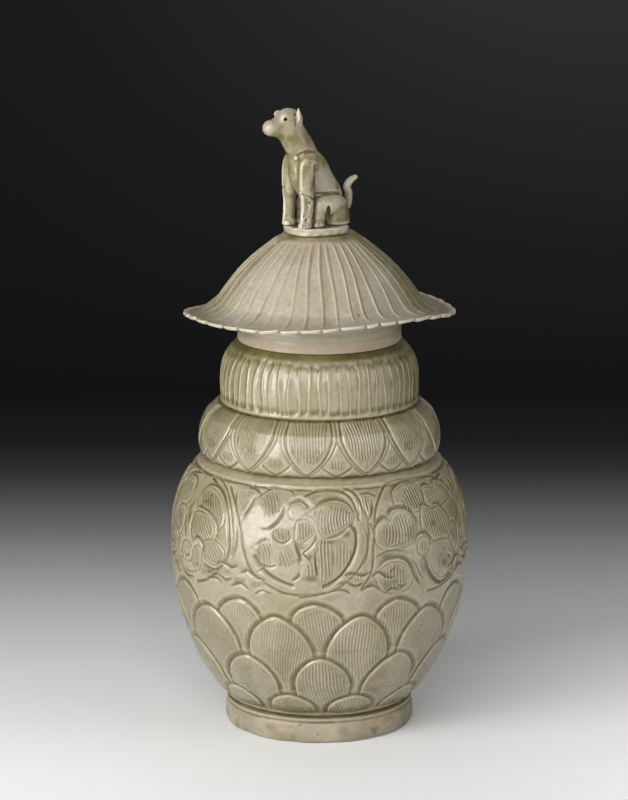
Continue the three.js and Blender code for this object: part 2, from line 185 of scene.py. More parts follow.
class Band:
    """The outer skin of a turned piece, on grids: rows go along its outline, columns round the axis.
    relief is how far the skin stands out in mm."""

    def __init__(self, outline, columns, spacing):
        self.outline = evenly(outline, spacing)
        self.r, self.z = self.outline.T
        self.s = lengths(self.outline)
        self.normal = normals(self.outline)
        self.columns = columns
        self.angle = round_angles(columns)
        self.degrees = np.degrees(self.angle)
        for grid in ("relief", *BAND_GRIDS):
            setattr(self, grid, np.zeros((len(self.r), columns)))

    def at_height(self, z):
        return float(np.interp(z, self.z, self.s))

    def radius_at(self, s):
        return np.interp(s, self.s, self.r)

    def window(self, angle, s, width, low, high):
        """The grid cells round a place, and their x and y in mm from it."""
        rows = np.flatnonzero((self.s > s + low) & (self.s < s + high))
        step = self.angle[1] - self.angle[0]
        reach = int(math.ceil(width / self.r[rows].min() / step)) + 1
        middle = int(round((math.radians(angle) - self.angle[0]) / step))
        offsets = np.arange(-reach, reach + 1)
        columns = (middle + offsets) % self.columns
        turn = self.angle[0] + (middle + offsets) * step - math.radians(angle)
        x = turn[None, :] * self.r[rows][:, None]
        y = np.repeat((self.s[rows] - s)[:, None], len(columns), axis=1)
        return np.ix_(rows, columns), x, y

    def around(self, angle, z, wide, tall):
        """The window round a place at height z, to wide on either side and tall up and down."""
        return self.window(angle, self.at_height(z), wide, -tall, tall)

    def drift(self, seed):
        """A soft random line round the piece, from -1 to 1."""
        return wander(self.angle, 0, seed)

    def darken(self, amount, cells=slice(None)):
        """Raises the olive to at least this in these cells: pooled glaze, and painted shade where a piece
        adds it.
        """
        self.pool[cells] = np.maximum(self.pool[cells], amount)

    def place(self, angle, s, line, margin):
        """The window that holds a line drawn from a place, with a margin."""
        low, high = line[:, 1].min() - margin, line[:, 1].max() + margin
        width = np.abs(line[:, 0]).max() + margin
        return self.window(angle, s, width, low, high)

    def petal(self, angle, s, line, groove=3.2, depth=1.1, crown=0.45, comb=None, wetness=1.0, rim=0.9,
              flip=False):
        """A raised leaf with a groove cut round it: steep at the leaf, sloping away outside."""
        line = mirrored(line, flip)
        cells, x, y = self.place(angle, s, line, groove + 2)
        distance, _, _ = measure(x, y, line)
        within = inside(x, y, np.vstack([line, line[0]]))
        out = np.where(within, -distance, distance)
        leaf = 1 - smoothstep(-0.5, 0.5, out)
        face = crown * (0.35 + 0.65 * (1 - np.exp(-distance / 3.5))) - 0.15 * np.exp(-distance / 0.5)
        slope = np.clip(1 - out / groove, 0, 1)
        cut = np.minimum(self.relief[cells], -depth * slope**0.9)
        self.relief[cells] = mix(cut, face, leaf)
        wet = np.maximum(self.pool[cells], wetness * smoothstep(0, 0.85, slope) * (1 - leaf))
        self.pool[cells] = mix(wet, 0, leaf)
        rim = rim * bell(out + 0.5, 0.38)
        far = bell(out - groove - 0.3, 0.6) * 0.5
        self.edge[cells] = np.maximum(mix(self.edge[cells] * (1 - slope), 0, leaf), rim + far * (1 - leaf))
        fade = smoothstep(0, groove, out)
        self.comb_mask[cells] *= np.where(within, 0, fade)
        if comb:
            self.comb_lines(cells, x, y, np.where(within, distance, 0), flip=flip, **comb)

    def comb_lines(self, cells, x, y, depth_in, tilt=0, fan=0, bend=0, start=1.6, region=None,
                   strength=1.0, pitch=COMB_PITCH, flip=False):
        """Fine lines from a comb with several teeth, drawn down a leaf."""
        turn = math.radians(-tilt if flip else tilt)
        cx, cy, rx, ry = region or (0, 0, 1, 1)
        if flip:
            cx, bend = -cx, -bend
        across = (x - cx) * math.cos(turn) + (y - cy) * math.sin(turn)
        down = (y - cy) * math.cos(turn) - (x - cx) * math.sin(turn)
        across = across * (1 + fan * down * 0.01) + bend * (down * 0.1) ** 2
        across = (across + 0.35 * np.sin(down * 0.21 + across * 0.13)) * COMB_PITCH / pitch
        mask = smoothstep(start, start + 1.2, depth_in) * strength
        if region:
            ragged = 0.12 * np.sin(2.1 * x + 0.7 * cy) + 0.08 * np.sin(3.7 * x + cx)
            far = np.hypot((x - cx) / rx, (y - cy) / ry) + ragged
            mask = mask * (1 - smoothstep(0.82, 1.08, far))
            hollow = (1 - smoothstep(0.5, 1.15, far)) * smoothstep(start - 0.8, start + 0.6, depth_in)
            self.relief[cells] -= 0.25 * hollow
            self.darken(0.16 * hollow, cells)
        patch = mask > 0.02
        self.comb[cells] = np.where(patch, across, self.comb[cells])
        self.comb_mask[cells] = np.maximum(self.comb_mask[cells], mask)

    def comb_patch(self, angle, s, region, flip=False, **settings):
        """A few comb lines by themselves: region is the middle x and y and the half width and height."""
        cx, cy, rx, ry = region
        box = mirrored([(cx - rx, cy - ry), (cx + rx, cy + ry)], flip)
        cells, x, y = self.place(angle, s, box, 1)
        self.comb_lines(cells, x, y, np.full(x.shape, 9.0), region=region, flip=flip, **settings)

    def cut(self, angle, s, line, width=1.3, depth=0.6, lean=0, taper=False, flip=False):
        """A carved line. lean 1 cuts steeply on its left and slopes on its right, -1 the other way."""
        line = mirrored(line, flip)
        lean = -lean if flip else lean
        cells, x, y = self.place(angle, s, line, width * 2.2 + 1)
        distance, side, along = measure(x, y, line)
        force = np.sin(math.pi * np.clip(along, 0.02, 0.98)) ** 0.6 if taper else 1
        if lean:
            out = -side * lean * distance
            steep = smoothstep(-0.5, 0.4, out)
            slope = np.clip(1 - np.abs(out) / (width * 2), 0, 1) ** 1.3 * steep
        else:
            slope = bell(distance, width * 0.62)
        slope = slope * force
        self.relief[cells] = np.minimum(self.relief[cells], self.relief[cells] * 0.3 - depth * slope)
        self.darken(smoothstep(0.02, 0.6, slope) if lean else slope, cells)
        rim = bell(distance - width, 0.5) * 0.5 * force
        if lean:
            rim = np.where(out < 0, bell(distance - 0.7, 0.5), rim * 0.4) * force
            self.relief[cells] += 0.3 * np.exp(-np.abs(distance - 1) / 1.6) * (out < 0) * force
        self.edge[cells] = np.maximum(self.edge[cells] * (1 - slope), rim)

    def ring(self, z, width, depth, wobble=0.3, seed=0):
        """A groove, or with a negative depth a ridge, all the way round."""
        middle = self.at_height(z) + wobble * self.drift(seed)
        distance = self.s[:, None] - middle[None, :]
        line = bell(distance, width)
        self.relief -= depth * line
        if depth > 0:
            self.darken(line)
        else:
            self.edge = np.maximum(self.edge, 0.55 * line)

    def skin(self):
        """Radii and heights of the carved skin in mm."""
        return (self.r[:, None] + self.normal[:, :1] * self.relief,
                self.z[:, None] + self.normal[:, 1:] * self.relief)


def link(obj):
    bpy.context.scene.collection.objects.link(obj)
    return obj


def make_mesh(name, vertices, faces, attributes):
    """A smooth mesh from arrays: faces has three or four corners a row."""
    mesh = bpy.data.meshes.new(name)
    corners = faces.shape[1]
    mesh.vertices.add(len(vertices))
    mesh.vertices.foreach_set("co", (vertices * MM).astype(np.float32).ravel())
    mesh.loops.add(faces.size)
    mesh.loops.foreach_set("vertex_index", faces.astype(np.int32).ravel())
    mesh.polygons.add(len(faces))
    mesh.polygons.foreach_set("loop_start", np.arange(0, faces.size, corners, dtype=np.int32))
    mesh.polygons.foreach_set("use_smooth", np.ones(len(faces), bool))
    mesh.update(calc_edges=True)
    for key, values in attributes.items():
        layer = mesh.attributes.new(key, "FLOAT", "POINT")
        layer.data.foreach_set("value", values.astype(np.float32).ravel())
    mesh.validate()
    return mesh


def ring_points(radii, heights, angle):
    """Points of rows round the axis, and their numbers in rows."""
    x = radii * np.sin(angle)[None, :]
    y = -radii * np.cos(angle)[None, :]
    return np.stack([x, y, heights], axis=-1).reshape(-1, 3), np.arange(x.size).reshape(x.shape)


def ring_faces(index):
    """Faces with four corners between each row and the next."""
    right = np.roll(index, -1, axis=1)
    return np.stack([index[:-1], right[:-1], right[1:], index[1:]], axis=-1).reshape(-1, 4)


def turned(name, body, node, slot, material, angle, radii, heights, grids):
    """A closed turned piece from rows that run round in a loop, or from one pole of radius 0 to another."""
    vertices, index = ring_points(radii, heights, angle)
    attributes = {key: grids.get(key, np.zeros(radii.shape)).reshape(-1) for key in GRIDS}
    if radii[0].max() > 1e-6:
        mesh = make_mesh(name, vertices, ring_faces(np.vstack([index, index[:1]])), attributes)
    else:
        index[0, :] = index[0, 0]
        index[-1, :] = index[-1, 0]
        right = np.roll(index, -1, axis=1)
        first = np.stack([index[0], right[1], index[1]], axis=-1)
        last = np.stack([index[-2], right[-2], index[-1]], axis=-1)
        quads = ring_faces(index[1:-1])
        faces = np.vstack([first, quads[:, [0, 1, 2]], quads[:, [0, 2, 3]], last])
        used = np.unique(faces)
        renumber = np.full(radii.size, -1)
        renumber[used] = np.arange(len(used))
        attributes = {key: values[used] for key, values in attributes.items()}
        mesh = make_mesh(name, vertices[used], renumber[faces], attributes)
    return dress(bpy.data.objects.new(name, mesh), body, [node], material)


def dress(obj, body, nodes, material):
    link(obj)
    obj.data.materials.append(material)
    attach(obj, body)
    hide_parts(*nodes)
    return obj


def stacked(band, after, extra=None, before=()):
    """The band's skin between the plain rows that close it, with the grids for the glaze."""
    radii, heights = band.skin()
    grids = {key: getattr(band, key) for key in BAND_GRIDS} | (extra or {})
    blank = [np.zeros((len(rows), band.columns)) for rows in (before, after)]
    grids = {key: np.vstack([blank[0], values, blank[1]]) for key, values in grids.items()}
    before, after = [np.array(rows, float).reshape(-1, 2)[:, :, None] for rows in (before, after)]
    ones = np.ones(band.columns)
    radii = np.vstack([before[:, 0] * ones, radii, after[:, 0] * ones])
    heights = np.vstack([before[:, 1] * ones, heights, after[:, 1] * ones])
    return radii, heights, grids


# Glaze materials


class Nodes:
    """Builds the nodes of a material or world with short calls."""

    def __init__(self, owner):
        owner.use_nodes = True
        self.tree = owner.node_tree

    def node(self, kind, inputs=(), **settings):
        made = self.tree.nodes.new("ShaderNode" + kind)
        for key, value in settings.items():
            setattr(made, key, value)
        for key, value in dict(inputs).items():
            if isinstance(value, bpy.types.NodeSocket):
                self.tree.links.new(value, made.inputs[key])
            else:
                made.inputs[key].default_value = value
        return made

    def math(self, operation, a, b=0.0, c=0.0, clamp=False):
        inputs = {0: a, 1: b, 2: c}
        return self.node("Math", inputs, operation=operation, use_clamp=clamp).outputs[0]

    def times(self, a, b):
        return self.math("MULTIPLY", a, b)


class Shader(Nodes):
    """One material. Its calls give the output socket of the node they make."""

    def __init__(self, name):
        self.material = bpy.data.materials.new(name)
        super().__init__(self.material)
        self.surface = self.tree.nodes["Principled BSDF"]
        self.coordinates = self.node("TexCoord").outputs["Object"]

    def grid(self, name):
        return self.node("Attribute", attribute_name=name).outputs["Fac"]

    def noise(self, size, detail=3.0, roughness=0.55, stretch=(1, 1, 1)):
        """Noise whose features are about size mm across."""
        place = self.node("Mapping", {"Vector": self.coordinates, "Scale": stretch}).outputs[0]
        return self.node("TexNoise", {
            "Vector": place, "Scale": 1 / (size * MM), "Detail": detail, "Roughness": roughness,
        }).outputs["Fac"]

    def ramp(self, value, low, high, start=0.0, end=1.0):
        return self.node("MapRange", {
            "Value": value, "From Min": low, "From Max": high, "To Min": start, "To Max": end,
        }, interpolation_type="SMOOTHSTEP").outputs["Result"]

    def blend(self, share, a, b):
        made = self.node("Mix", data_type="RGBA")
        sockets = [socket for socket in made.inputs if socket.enabled]
        for socket, value in zip(sockets, (share, a, b)):
            if isinstance(value, bpy.types.NodeSocket):
                self.tree.links.new(value, socket)
            elif isinstance(value, (int, float)):
                socket.default_value = value
            else:
                socket.default_value = (*value, 1)
        return [socket for socket in made.outputs if socket.enabled][0]

    def speck(self, spacing, radius, share):
        """Scattered dots: spacing and radius in mm, share is how many of the cells have one."""
        cells = self.node("TexVoronoi", {
            "Vector": self.coordinates, "Scale": 1 / (spacing * MM), "Randomness": 1.0,
        }, feature="F1")
        dot = self.ramp(cells.outputs["Distance"], radius / spacing, radius / spacing * 0.55)
        red = self.node("SeparateColor", {"Color": cells.outputs["Color"]}).outputs[0]
        chosen = self.math("LESS_THAN", red, share)
        return self.times(dot, chosen)

    def bump(self, height, distance, below=None, strength=1.0):
        inputs = {"Height": height, "Distance": distance * MM, "Strength": strength}
        if below is not None:
            inputs["Normal"] = below
        return self.node("Bump", inputs).outputs["Normal"]

    def finish(self, colour, roughness, normal, coat):
        inputs = self.surface.inputs
        self.tree.links.new(colour, inputs["Base Color"])
        self.tree.links.new(roughness, inputs["Roughness"])
        self.tree.links.new(normal, inputs["Normal"])
        inputs["Coat Weight"].default_value = coat
        inputs["Coat Roughness"].default_value = 0.12
        inputs["Specular IOR Level"].default_value = 0.5
        inputs["IOR"].default_value = 1.5
        return self.material


BARE_CLAY, ORANGE_CLAY, IRON = (0.4, 0.325, 0.235), (0.37, 0.255, 0.14), (0.085, 0.07, 0.04)


def tint(colour, *shares):
    return [c * share for c, share in zip(colour, shares)]


def glaze(name, thin, body, buff, pooled_and_shaded, buff_share=0.4, gloss=0.25, coat=0.4):
    """Celadon glaze: pale where it is thin on edges, olive where it has run into the cuts, with buff
    clouds, iron specks and fine pits. Pieces also put painted highlight into the edge grid and painted shade
    into pool, which come out in the same pale and olive. thin, body, buff and pooled_and_shaded are linear
    colours."""
    g = Shader(name)
    pool, edge = g.grid("pool"), g.grid("edge")
    bare, orange = g.grid("bare"), g.grid("orange")
    clouds = g.noise(30, 4)
    streaks = g.noise(9, 4, stretch=(1, 1, 0.3))
    mottle = g.noise(3.2, 3, 0.6)
    fine = g.noise(1.1, 3, 0.6)
    tooth = g.math("COSINE", g.times(g.grid("comb"), 2 * math.pi / COMB_PITCH))
    tooth = g.math("ADD", g.times(tooth, 0.5), 0.5)
    mask = g.grid("comb_mask")
    comb = g.times(tooth, mask)
    trough = g.times(g.math("SUBTRACT", 1.0, tooth), mask)

    colour = g.blend(g.ramp(clouds, 0.36, 0.66), body, thin)
    colour = g.blend(g.times(g.ramp(streaks, 0.48, 0.72), buff_share), colour, buff)
    colour = g.blend(g.times(g.ramp(mottle, 0.4, 0.72), 0.3), colour, tint(body, 0.66, 0.66, 0.5))
    # Olive from pool: glaze that has run, and painted shade that pieces add to it
    wet = g.math("ADD", pool, g.times(trough, 0.3))
    wet = g.times(wet, g.ramp(g.noise(6, 3), 0.3, 0.62, 0.75, 1.08))
    colour = g.blend(g.ramp(wet, 0.0, 0.9, 0.0, 0.88), colour, pooled_and_shaded)
    colour = g.blend(g.ramp(wet, 0.7, 1.3, 0.0, 0.85), colour, tint(pooled_and_shaded, 0.58, 0.55, 0.2))
    crest = g.math("ADD", g.times(edge, 0.7), g.times(comb, 0.3), clamp=True)
    colour = g.blend(crest, colour, tint(thin, 1.3, 1.3, 1.3))
    colour = g.blend(g.times(g.ramp(fine, 0.4, 0.75), 0.16), colour, tint(body, 0.55, 0.55, 0.55))
    colour = g.blend(g.times(bare, 0.8), colour, BARE_CLAY)
    colour = g.blend(g.times(orange, g.ramp(g.noise(5, 4), 0.3, 0.6)), colour, ORANGE_CLAY)
    specks = g.math("MAXIMUM", g.speck(7, 0.36, 0.3), g.speck(2.6, 0.16, 0.22))
    colour = g.blend(g.times(specks, 0.8), colour, IRON)

    rough = g.ramp(g.noise(5, 4), 0.3, 0.7, gloss, gloss + 0.16)
    rough = g.math("ADD", rough, g.times(bare, 0.3), clamp=True)
    rough = g.math("ADD", rough, g.times(specks, 0.2), clamp=True)

    skin = g.bump(g.noise(9, 2), 0.5)
    skin = g.bump(g.noise(2.2, 4), 0.24, skin)
    skin = g.bump(g.noise(0.5, 2), 0.03, skin)
    skin = g.bump(g.times(specks, -1.0), 0.12, skin)
    skin = g.bump(comb, 0.6, skin)
    return g.finish(colour, rough, skin, coat)


OLIVE = glaze("olive_glaze", (0.375, 0.328, 0.235), (0.29, 0.246, 0.155), (0.318, 0.252, 0.165),
              (0.112, 0.095, 0.016), coat=0.6)
GREY = glaze("grey_glaze", (0.445, 0.4, 0.32), (0.37, 0.325, 0.238), (0.375, 0.305, 0.212),
             (0.138, 0.108, 0.016), buff_share=0.35)
THIN = glaze("thin_glaze", (0.38, 0.333, 0.25), (0.275, 0.237, 0.162), (0.33, 0.262, 0.178),
             (0.105, 0.088, 0.022), buff_share=0.5, gloss=0.36, coat=0.15)


# Belly: four rows of lotus petals below, seven round flower panels above

BELLY_BOTTOM, GIRTH, BELLY_TOP = 15.9, 115.9, 169.6
BELLY_FOOT_RADIUS, BELLY_RADIUS, BELLY_TOP_RADIUS = 53.6, 91.2, 69.4
BELLY_WALL = 5.5


def belly_outline():
    foot, girth, top = (BELLY_FOOT_RADIUS, BELLY_BOTTOM), (BELLY_RADIUS, GIRTH), (BELLY_TOP_RADIUS, BELLY_TOP)
    lower = swept(foot, girth, (0.45, 0.12), (0, 0.515))
    upper = swept(girth, top, (0, 0.54), (0.63, 0.22))
    return np.vstack([lower, upper[1:]])


PETALS_PER_ROW = 11
# Height of the tips, first petal's angle, how far down a petal reaches its full width, its length and
# how much of its place it fills
LOTUS_ROWS = ((96.5, 0.0, 12, 30, 0.74), (88.8, 16.4, 24, 44, 1), (60.6, 0.5, 22, 40, 1),
              (33.4, 17.5, 13, 16, 1))


def lotus_outline(band, s, half_angle, rise, length, lean, groove):
    """An arch as an open line from its left foot over the tip to its right foot."""
    down = length * np.linspace(1, 0, 24) ** 1.5
    share = np.clip(down / rise, 0, 1)
    width = 0.6 * (1 - (1 - share) ** 2) ** 0.56 + 0.4 * share**0.85 * (1.6 - 0.6 * share)
    radius = band.radius_at(s - down)
    half = width * (half_angle * radius - groove)
    sway = lean * (1 - share)
    left = np.column_stack([sway - half, -down])
    right = np.column_stack([sway + half, -down])[::-1]
    return np.vstack([left, right[1:]])


def carve_lotus(band):
    rng = np.random.default_rng(11)
    pitch = 360 / PETALS_PER_ROW
    for height, first, rise, length, share in LOTUS_ROWS:
        for k in range(PETALS_PER_ROW):
            angle = first + k * pitch + rng.uniform(-1.1, 1.1)
            s = band.at_height(height + rng.uniform(-1.6, 1.6))
            half_angle = math.radians(pitch / 2 * share * rng.uniform(0.95, 1.03))
            line = lotus_outline(band, s, half_angle, rise * rng.uniform(0.9, 1.1), length,
                                 rng.uniform(-2.6, 2.6), 3.8)
            comb = {"tilt": rng.uniform(-9, 9), "fan": rng.uniform(-0.6, 0.9), "bend": rng.uniform(-0.4, 0.4),
                    "start": rng.uniform(0.8, 2.0), "strength": rng.uniform(0.65, 1.0)}
            band.petal(angle, s, line, groove=4.2, depth=1.25, crown=0.5, comb=comb, wetness=0.95)


PANELS = 7
PANEL_HEIGHT = 137
FIRST_PANEL = -7.3

# A flower in a ring, in mm from the middle of the panel. shift moves it sideways. lines are ring
# and stem lines, leaves are outlines with their comb, back ones first, and cuts are made last: a
# line or cut is its points, width, depth and lean. pools are ellipses where glaze ran together.
LOTUS_FLOWER = {
    "shift": 1.6,
    "lines": [
        ([(-50, 27), (-46, 20), (-43.5, 14), (-41.5, 6.5), (-39.5, -1), (-37.5, -8.5), (-35, -15.5),
          (-31.5, -22), (-24, -27.5), (-18, -30.5), (-10, -33.5), (1.5, -34), (13, -32.5)], 1.1, 0.6, 0),
        ([(22.5, 32), (28.5, 28.5), (32.5, 23.5), (35.5, 17), (38, 12.5), (39.5, 5), (39.6, -1),
          (38.7, -7), (37, -12.5), (32.5, -20), (26.5, -26), (18.5, -31), (9, -34), (-1.5, -35.6)],
         1.0, 0.6, 0),
        ([(0, 26.5), (6, 29.6), (13, 30.6), (21, 29.4), (27, 25), (31.4, 18), (33, 11)], 1.2, 0.7, 0),
        ([(28, 9), (31.3, 4), (32, -2), (30.8, -9), (27.8, -15.5), (23, -22), (17.7, -26.2), (12.9, -28.6)],
         1.6, 1.2, 0),
        ([(-29.6, -12.6), (-25.6, -18.5), (-20.3, -22.7), (-13.8, -26), (-6.6, -28.4)], 1.8, 1.2, 0),
    ],
    "leaves": [
        ([(-9.1, 16.8), (-7.6, 20), (-4.2, 21.2), (-0.2, 19), (1, 17.4), (-1, 13.2), (-4, 11.6),
          (-7.8, 13)], None),
        ([(-4.3, 7.6), (-3.5, 10), (0.5, 11.2), (4.6, 9.4), (6.2, 5.2), (4, 1.7), (-1.3, -2), (-4.3, -0.7)],
         {"tilt": 6, "bend": -3, "start": 0.6, "region": (1, 4.8, 5.4, 6.6)}),
        ([(2.3, 15.3), (5.6, 18.4), (12, 21), (18, 21.4), (24, 19.4), (28.6, 14.8), (29, 10), (23, 5.8),
          (17.7, 3.1), (13.5, 1.7), (10.6, 4), (8.2, 8.8), (5.8, 12.9)],
         {"tilt": 5, "bend": -2.2, "fan": 0.8, "region": (17.4, 10.8, 10.8, 8), "start": 0.6}),
    ],
    "cuts": [
        ([(-30.4, 21.2), (-23.3, 28.1), (-16.7, 30.3), (-9.6, 29.3), (-5.5, 25.1)], 1.2, 0.9, -1),
        ([(-12, 21.2), (-12.9, 17.1), (-15, 12.3), (-18.5, 8.2), (-22.4, 5.3), (-26.2, 5.2)], 1.2, 0.95, -1),
        ([(-9.3, 20), (-6.6, 22.2), (-3.1, 22.8), (0.5, 20.9), (2.3, 18)], 1.5, 1.1, -1),
        ([(5.8, 19.5), (10, 22), (16.5, 23.7), (21.8, 23), (26, 20.4), (30.1, 14.7)], 1.8, 1.3, -1),
        ([(-6, -0.7), (-4.3, -6), (-2.5, -11.4), (-1.6, -16)], 1.8, 1.3, -1),
        ([(7.4, 4.8), (6.7, -0.1), (4, -4.3), (-0.1, -8.6), (4, -12.6), (5.2, -16.6)], 1.0, 0.8, -1),
        ([(-17.9, 2.8), (-16.1, -0.7), (-12.6, -2.4), (-9, -0.7), (-7.2, 2.3)], 0.9, 0.6, 1),
        ([(-28.6, -6), (-24.5, -2.6), (-20, -2.2)], 0.8, 0.5, -1),
        ([(-26, -15.6), (-20.3, -17.2), (-15.5, -15.6)], 1.0, 0.7, 1),
        ([(-1.6, -19.8), (-2.2, -23.3), (-6.5, -26)], 1.3, 1.0, 1),
        ([(9.2, -4), (8.2, -10), (8.6, -17), (9.6, -23.5)], 1.0, 0.7, 1),
        ([(13.6, 0.2), (20, 1.6), (26.6, 5.4)], 1.2, 0.9, -1),
    ],
    "patches": [
        ((-20.7, 19.5, 5.6, 7.6), {"tilt": 9, "bend": 1.6}), ((-13.2, 1.8, 5, 4), {"tilt": 8, "bend": 3}),
        ((-23.3, -9.4, 5, 8), {"tilt": 14, "bend": 2.4}), ((-10.2, -12.4, 5.4, 4.4), {"tilt": 16}),
        ((12.6, -12, 5.8, 12.5), {"tilt": 1}), ((23.8, -10.6, 5.6, 7.5), {"tilt": -3, "strength": 0.6}),
        ((5, -18.6, 3.6, 4.6), {}), ((0.6, 32, 3.6, 1.8), {"strength": 0.4}),
        ((-33, 27.6, 3, 4), {"tilt": 14, "strength": 0.5}),
    ],
    "pools": [(4.6, -23.8, 6.8, 2.6), (-1.4, -4.4, 3.4, 3.4), (4.4, -10.8, 2.6, 3.4), (15, -1.2, 7.5, 2.6),
              (-2.4, -12.6, 2.2, 3), (25.6, 3, 4, 3)],
}
PEONY = {
    "shift": 12.6,
    "lines": [
        ([(-49, 8), (-47.6, 2), (-49.4, -5), (-50, -12), (-51, -19), (-53.5, -25), (-57.5, -31)],
         1.0, 0.6, 0),
        ([(-46, 9), (-42.5, 17), (-36, 25), (-29, 31), (-20, 33), (-10, 32), (4, 30.5), (15, 27), (24, 20),
          (27.5, 10), (29, 0), (28, -12), (24, -24), (16, -34), (4, -38), (-10, -39)], 1.0, 0.55, 0),
        ([(29, 24), (33.5, 12), (34, -2), (31.5, -16), (26, -28)], 0.9, 0.45, 0),
    ],
    "leaves": [
        ([(-4, 22.5), (2, 22.5), (6, 21.2), (10.5, 24.5), (20, 20.5), (22, 15), (12, 11.5), (4, 11),
          (-5, 14)],
         {"tilt": 4, "pitch": 2.1, "start": 1.2, "strength": 0.8}),
        ([(-29, 19), (-27.5, 23.5), (-20.5, 27.5), (-12.5, 28.5), (-8, 27), (-6.5, 22.5), (-7.5, 17),
          (-12.5, 12), (-21, 11.5), (-27.5, 13.5)],
         {"tilt": 1, "region": (-15, 17.5, 7, 8), "pitch": 2.15, "start": 0.8}),
        ([(-11.5, 11.5), (-5.5, 12), (-2.6, 9.6), (4, 10), (8.4, 5), (12, -1), (13.5, -8), (9, -11),
          (-0.5, -10.5), (-8.5, -4), (-13.5, -1.5)],
         {"tilt": 8, "fan": 0.8, "pitch": 2.1, "start": 1.2, "strength": 0.75}),
        ([(-47.5, -3), (-46.5, 2), (-43, 6.5), (-39.5, 8.5), (-36.5, 7), (-33, 12), (-27.5, 13),
          (-22.5, 11.5), (-20, 8), (-18.5, 3), (-19, -4), (-25.5, -7.5), (-35.5, -8), (-43.5, -7.5)],
         {"tilt": -8, "fan": 0.7, "bend": 1.6, "region": (-30, 1, 11, 8.5), "pitch": 2.2, "start": 0.9}),
        ([(-49, -24.5), (-46.5, -22), (-42.5, -18.5), (-36.5, -17), (-30, -18.5), (-26, -22.5),
          (-23, -28.5), (-26, -34), (-34, -35.5), (-44, -33)],
         {"region": (-37, -27, 6.5, 9), "pitch": 2.2, "start": 0.8}),
        ([(-8.2, -10), (-9.5, -16), (-7, -24), (-0.5, -31), (5, -32.5), (11, -29.5), (17, -24.5),
          (16.5, -16), (9.5, -10.5)], {"tilt": 4, "region": (3, -20, 4, 5), "strength": 0.6, "pitch": 2.1}),
        ([(11.5, -8), (14, -3), (18.5, -2), (22.5, -7), (21.5, -15), (17, -17)],
         {"tilt": 6, "strength": 0.6, "start": 1}),
        ([(-18.6, -10), (-17, -6.2), (-13.6, -5), (-10, -6.6), (-9, -10), (-10.2, -13.6), (-14, -15.2),
          (-17.4, -13.8)], {"region": (-13.8, -10, 3, 3), "strength": 0.5, "start": 0.8}),
    ],
    "cuts": [
        ([(-48, 1), (-44.5, 7.2), (-39.8, 10.3), (-36, 8.4)], 1.4, 1.05, -1),
        ([(-37, 9.6), (-33.4, 14), (-27.4, 15), (-21.6, 13), (-18.4, 8.4), (-16.6, 3)], 1.5, 1.1, -1),
        ([(-19.6, -8), (-17.8, -3.6), (-13.4, -2.4), (-9.4, -4.4), (-7.4, -9)], 1.3, 1.0, -1),
        ([(-49, -12), (-42.5, -9.4), (-35.5, -9), (-27.5, -10.5)], 1.1, 0.8, 1),
        ([(-48, -21), (-43, -16), (-36.5, -14.6), (-29.6, -16), (-25, -20.6), (-21.8, -27.5), (-16, -35)],
         1.7, 1.2, -1),
        ([(-30, 21), (-27, 26), (-20, 29.8), (-12.4, 30.6), (-7, 28)], 1.2, 0.85, -1),
        ([(-5, 24), (-1, 25.4), (3.4, 23.6)], 1.1, 0.8, -1),
        ([(5.5, 23.4), (10.5, 26.2), (17, 24), (21.6, 19.4)], 1.2, 0.9, -1),
        ([(-12, 13.6), (-7.6, 14), (-4, 11.6)], 1.2, 0.9, -1),
        ([(-1.4, 11.6), (3.8, 12.2), (8.6, 7.8), (12.4, 2), (14.4, -5)], 1.3, 0.95, -1),
        ([(-9.6, -13), (-11.2, -18), (-8.4, -26), (-1, -33.4), (5.4, -35), (12.4, -32), (18.8, -25.6)],
         1.7, 1.2, 1),
        ([(-24, -16), (-20, -21), (-17, -27), (-13, -31)], 0.9, 0.6, 0),
        ([(-34, -30), (-31, -31.6), (-27.6, -30)], 1.2, 0.9, 1),
    ],
    "patches": [((-14, -22, 3.2, 4.5), {"tilt": 6}), ((20, 9, 3.4, 5), {"tilt": 4}), ((24.5, -2, 3, 5), {})],
    "pools": [(6, -24, 5, 4), (-13.6, -17, 4, 2.4), (-40, -12.4, 7, 2), (-3, 2, 4, 3), (19, -20, 3, 4)],
}
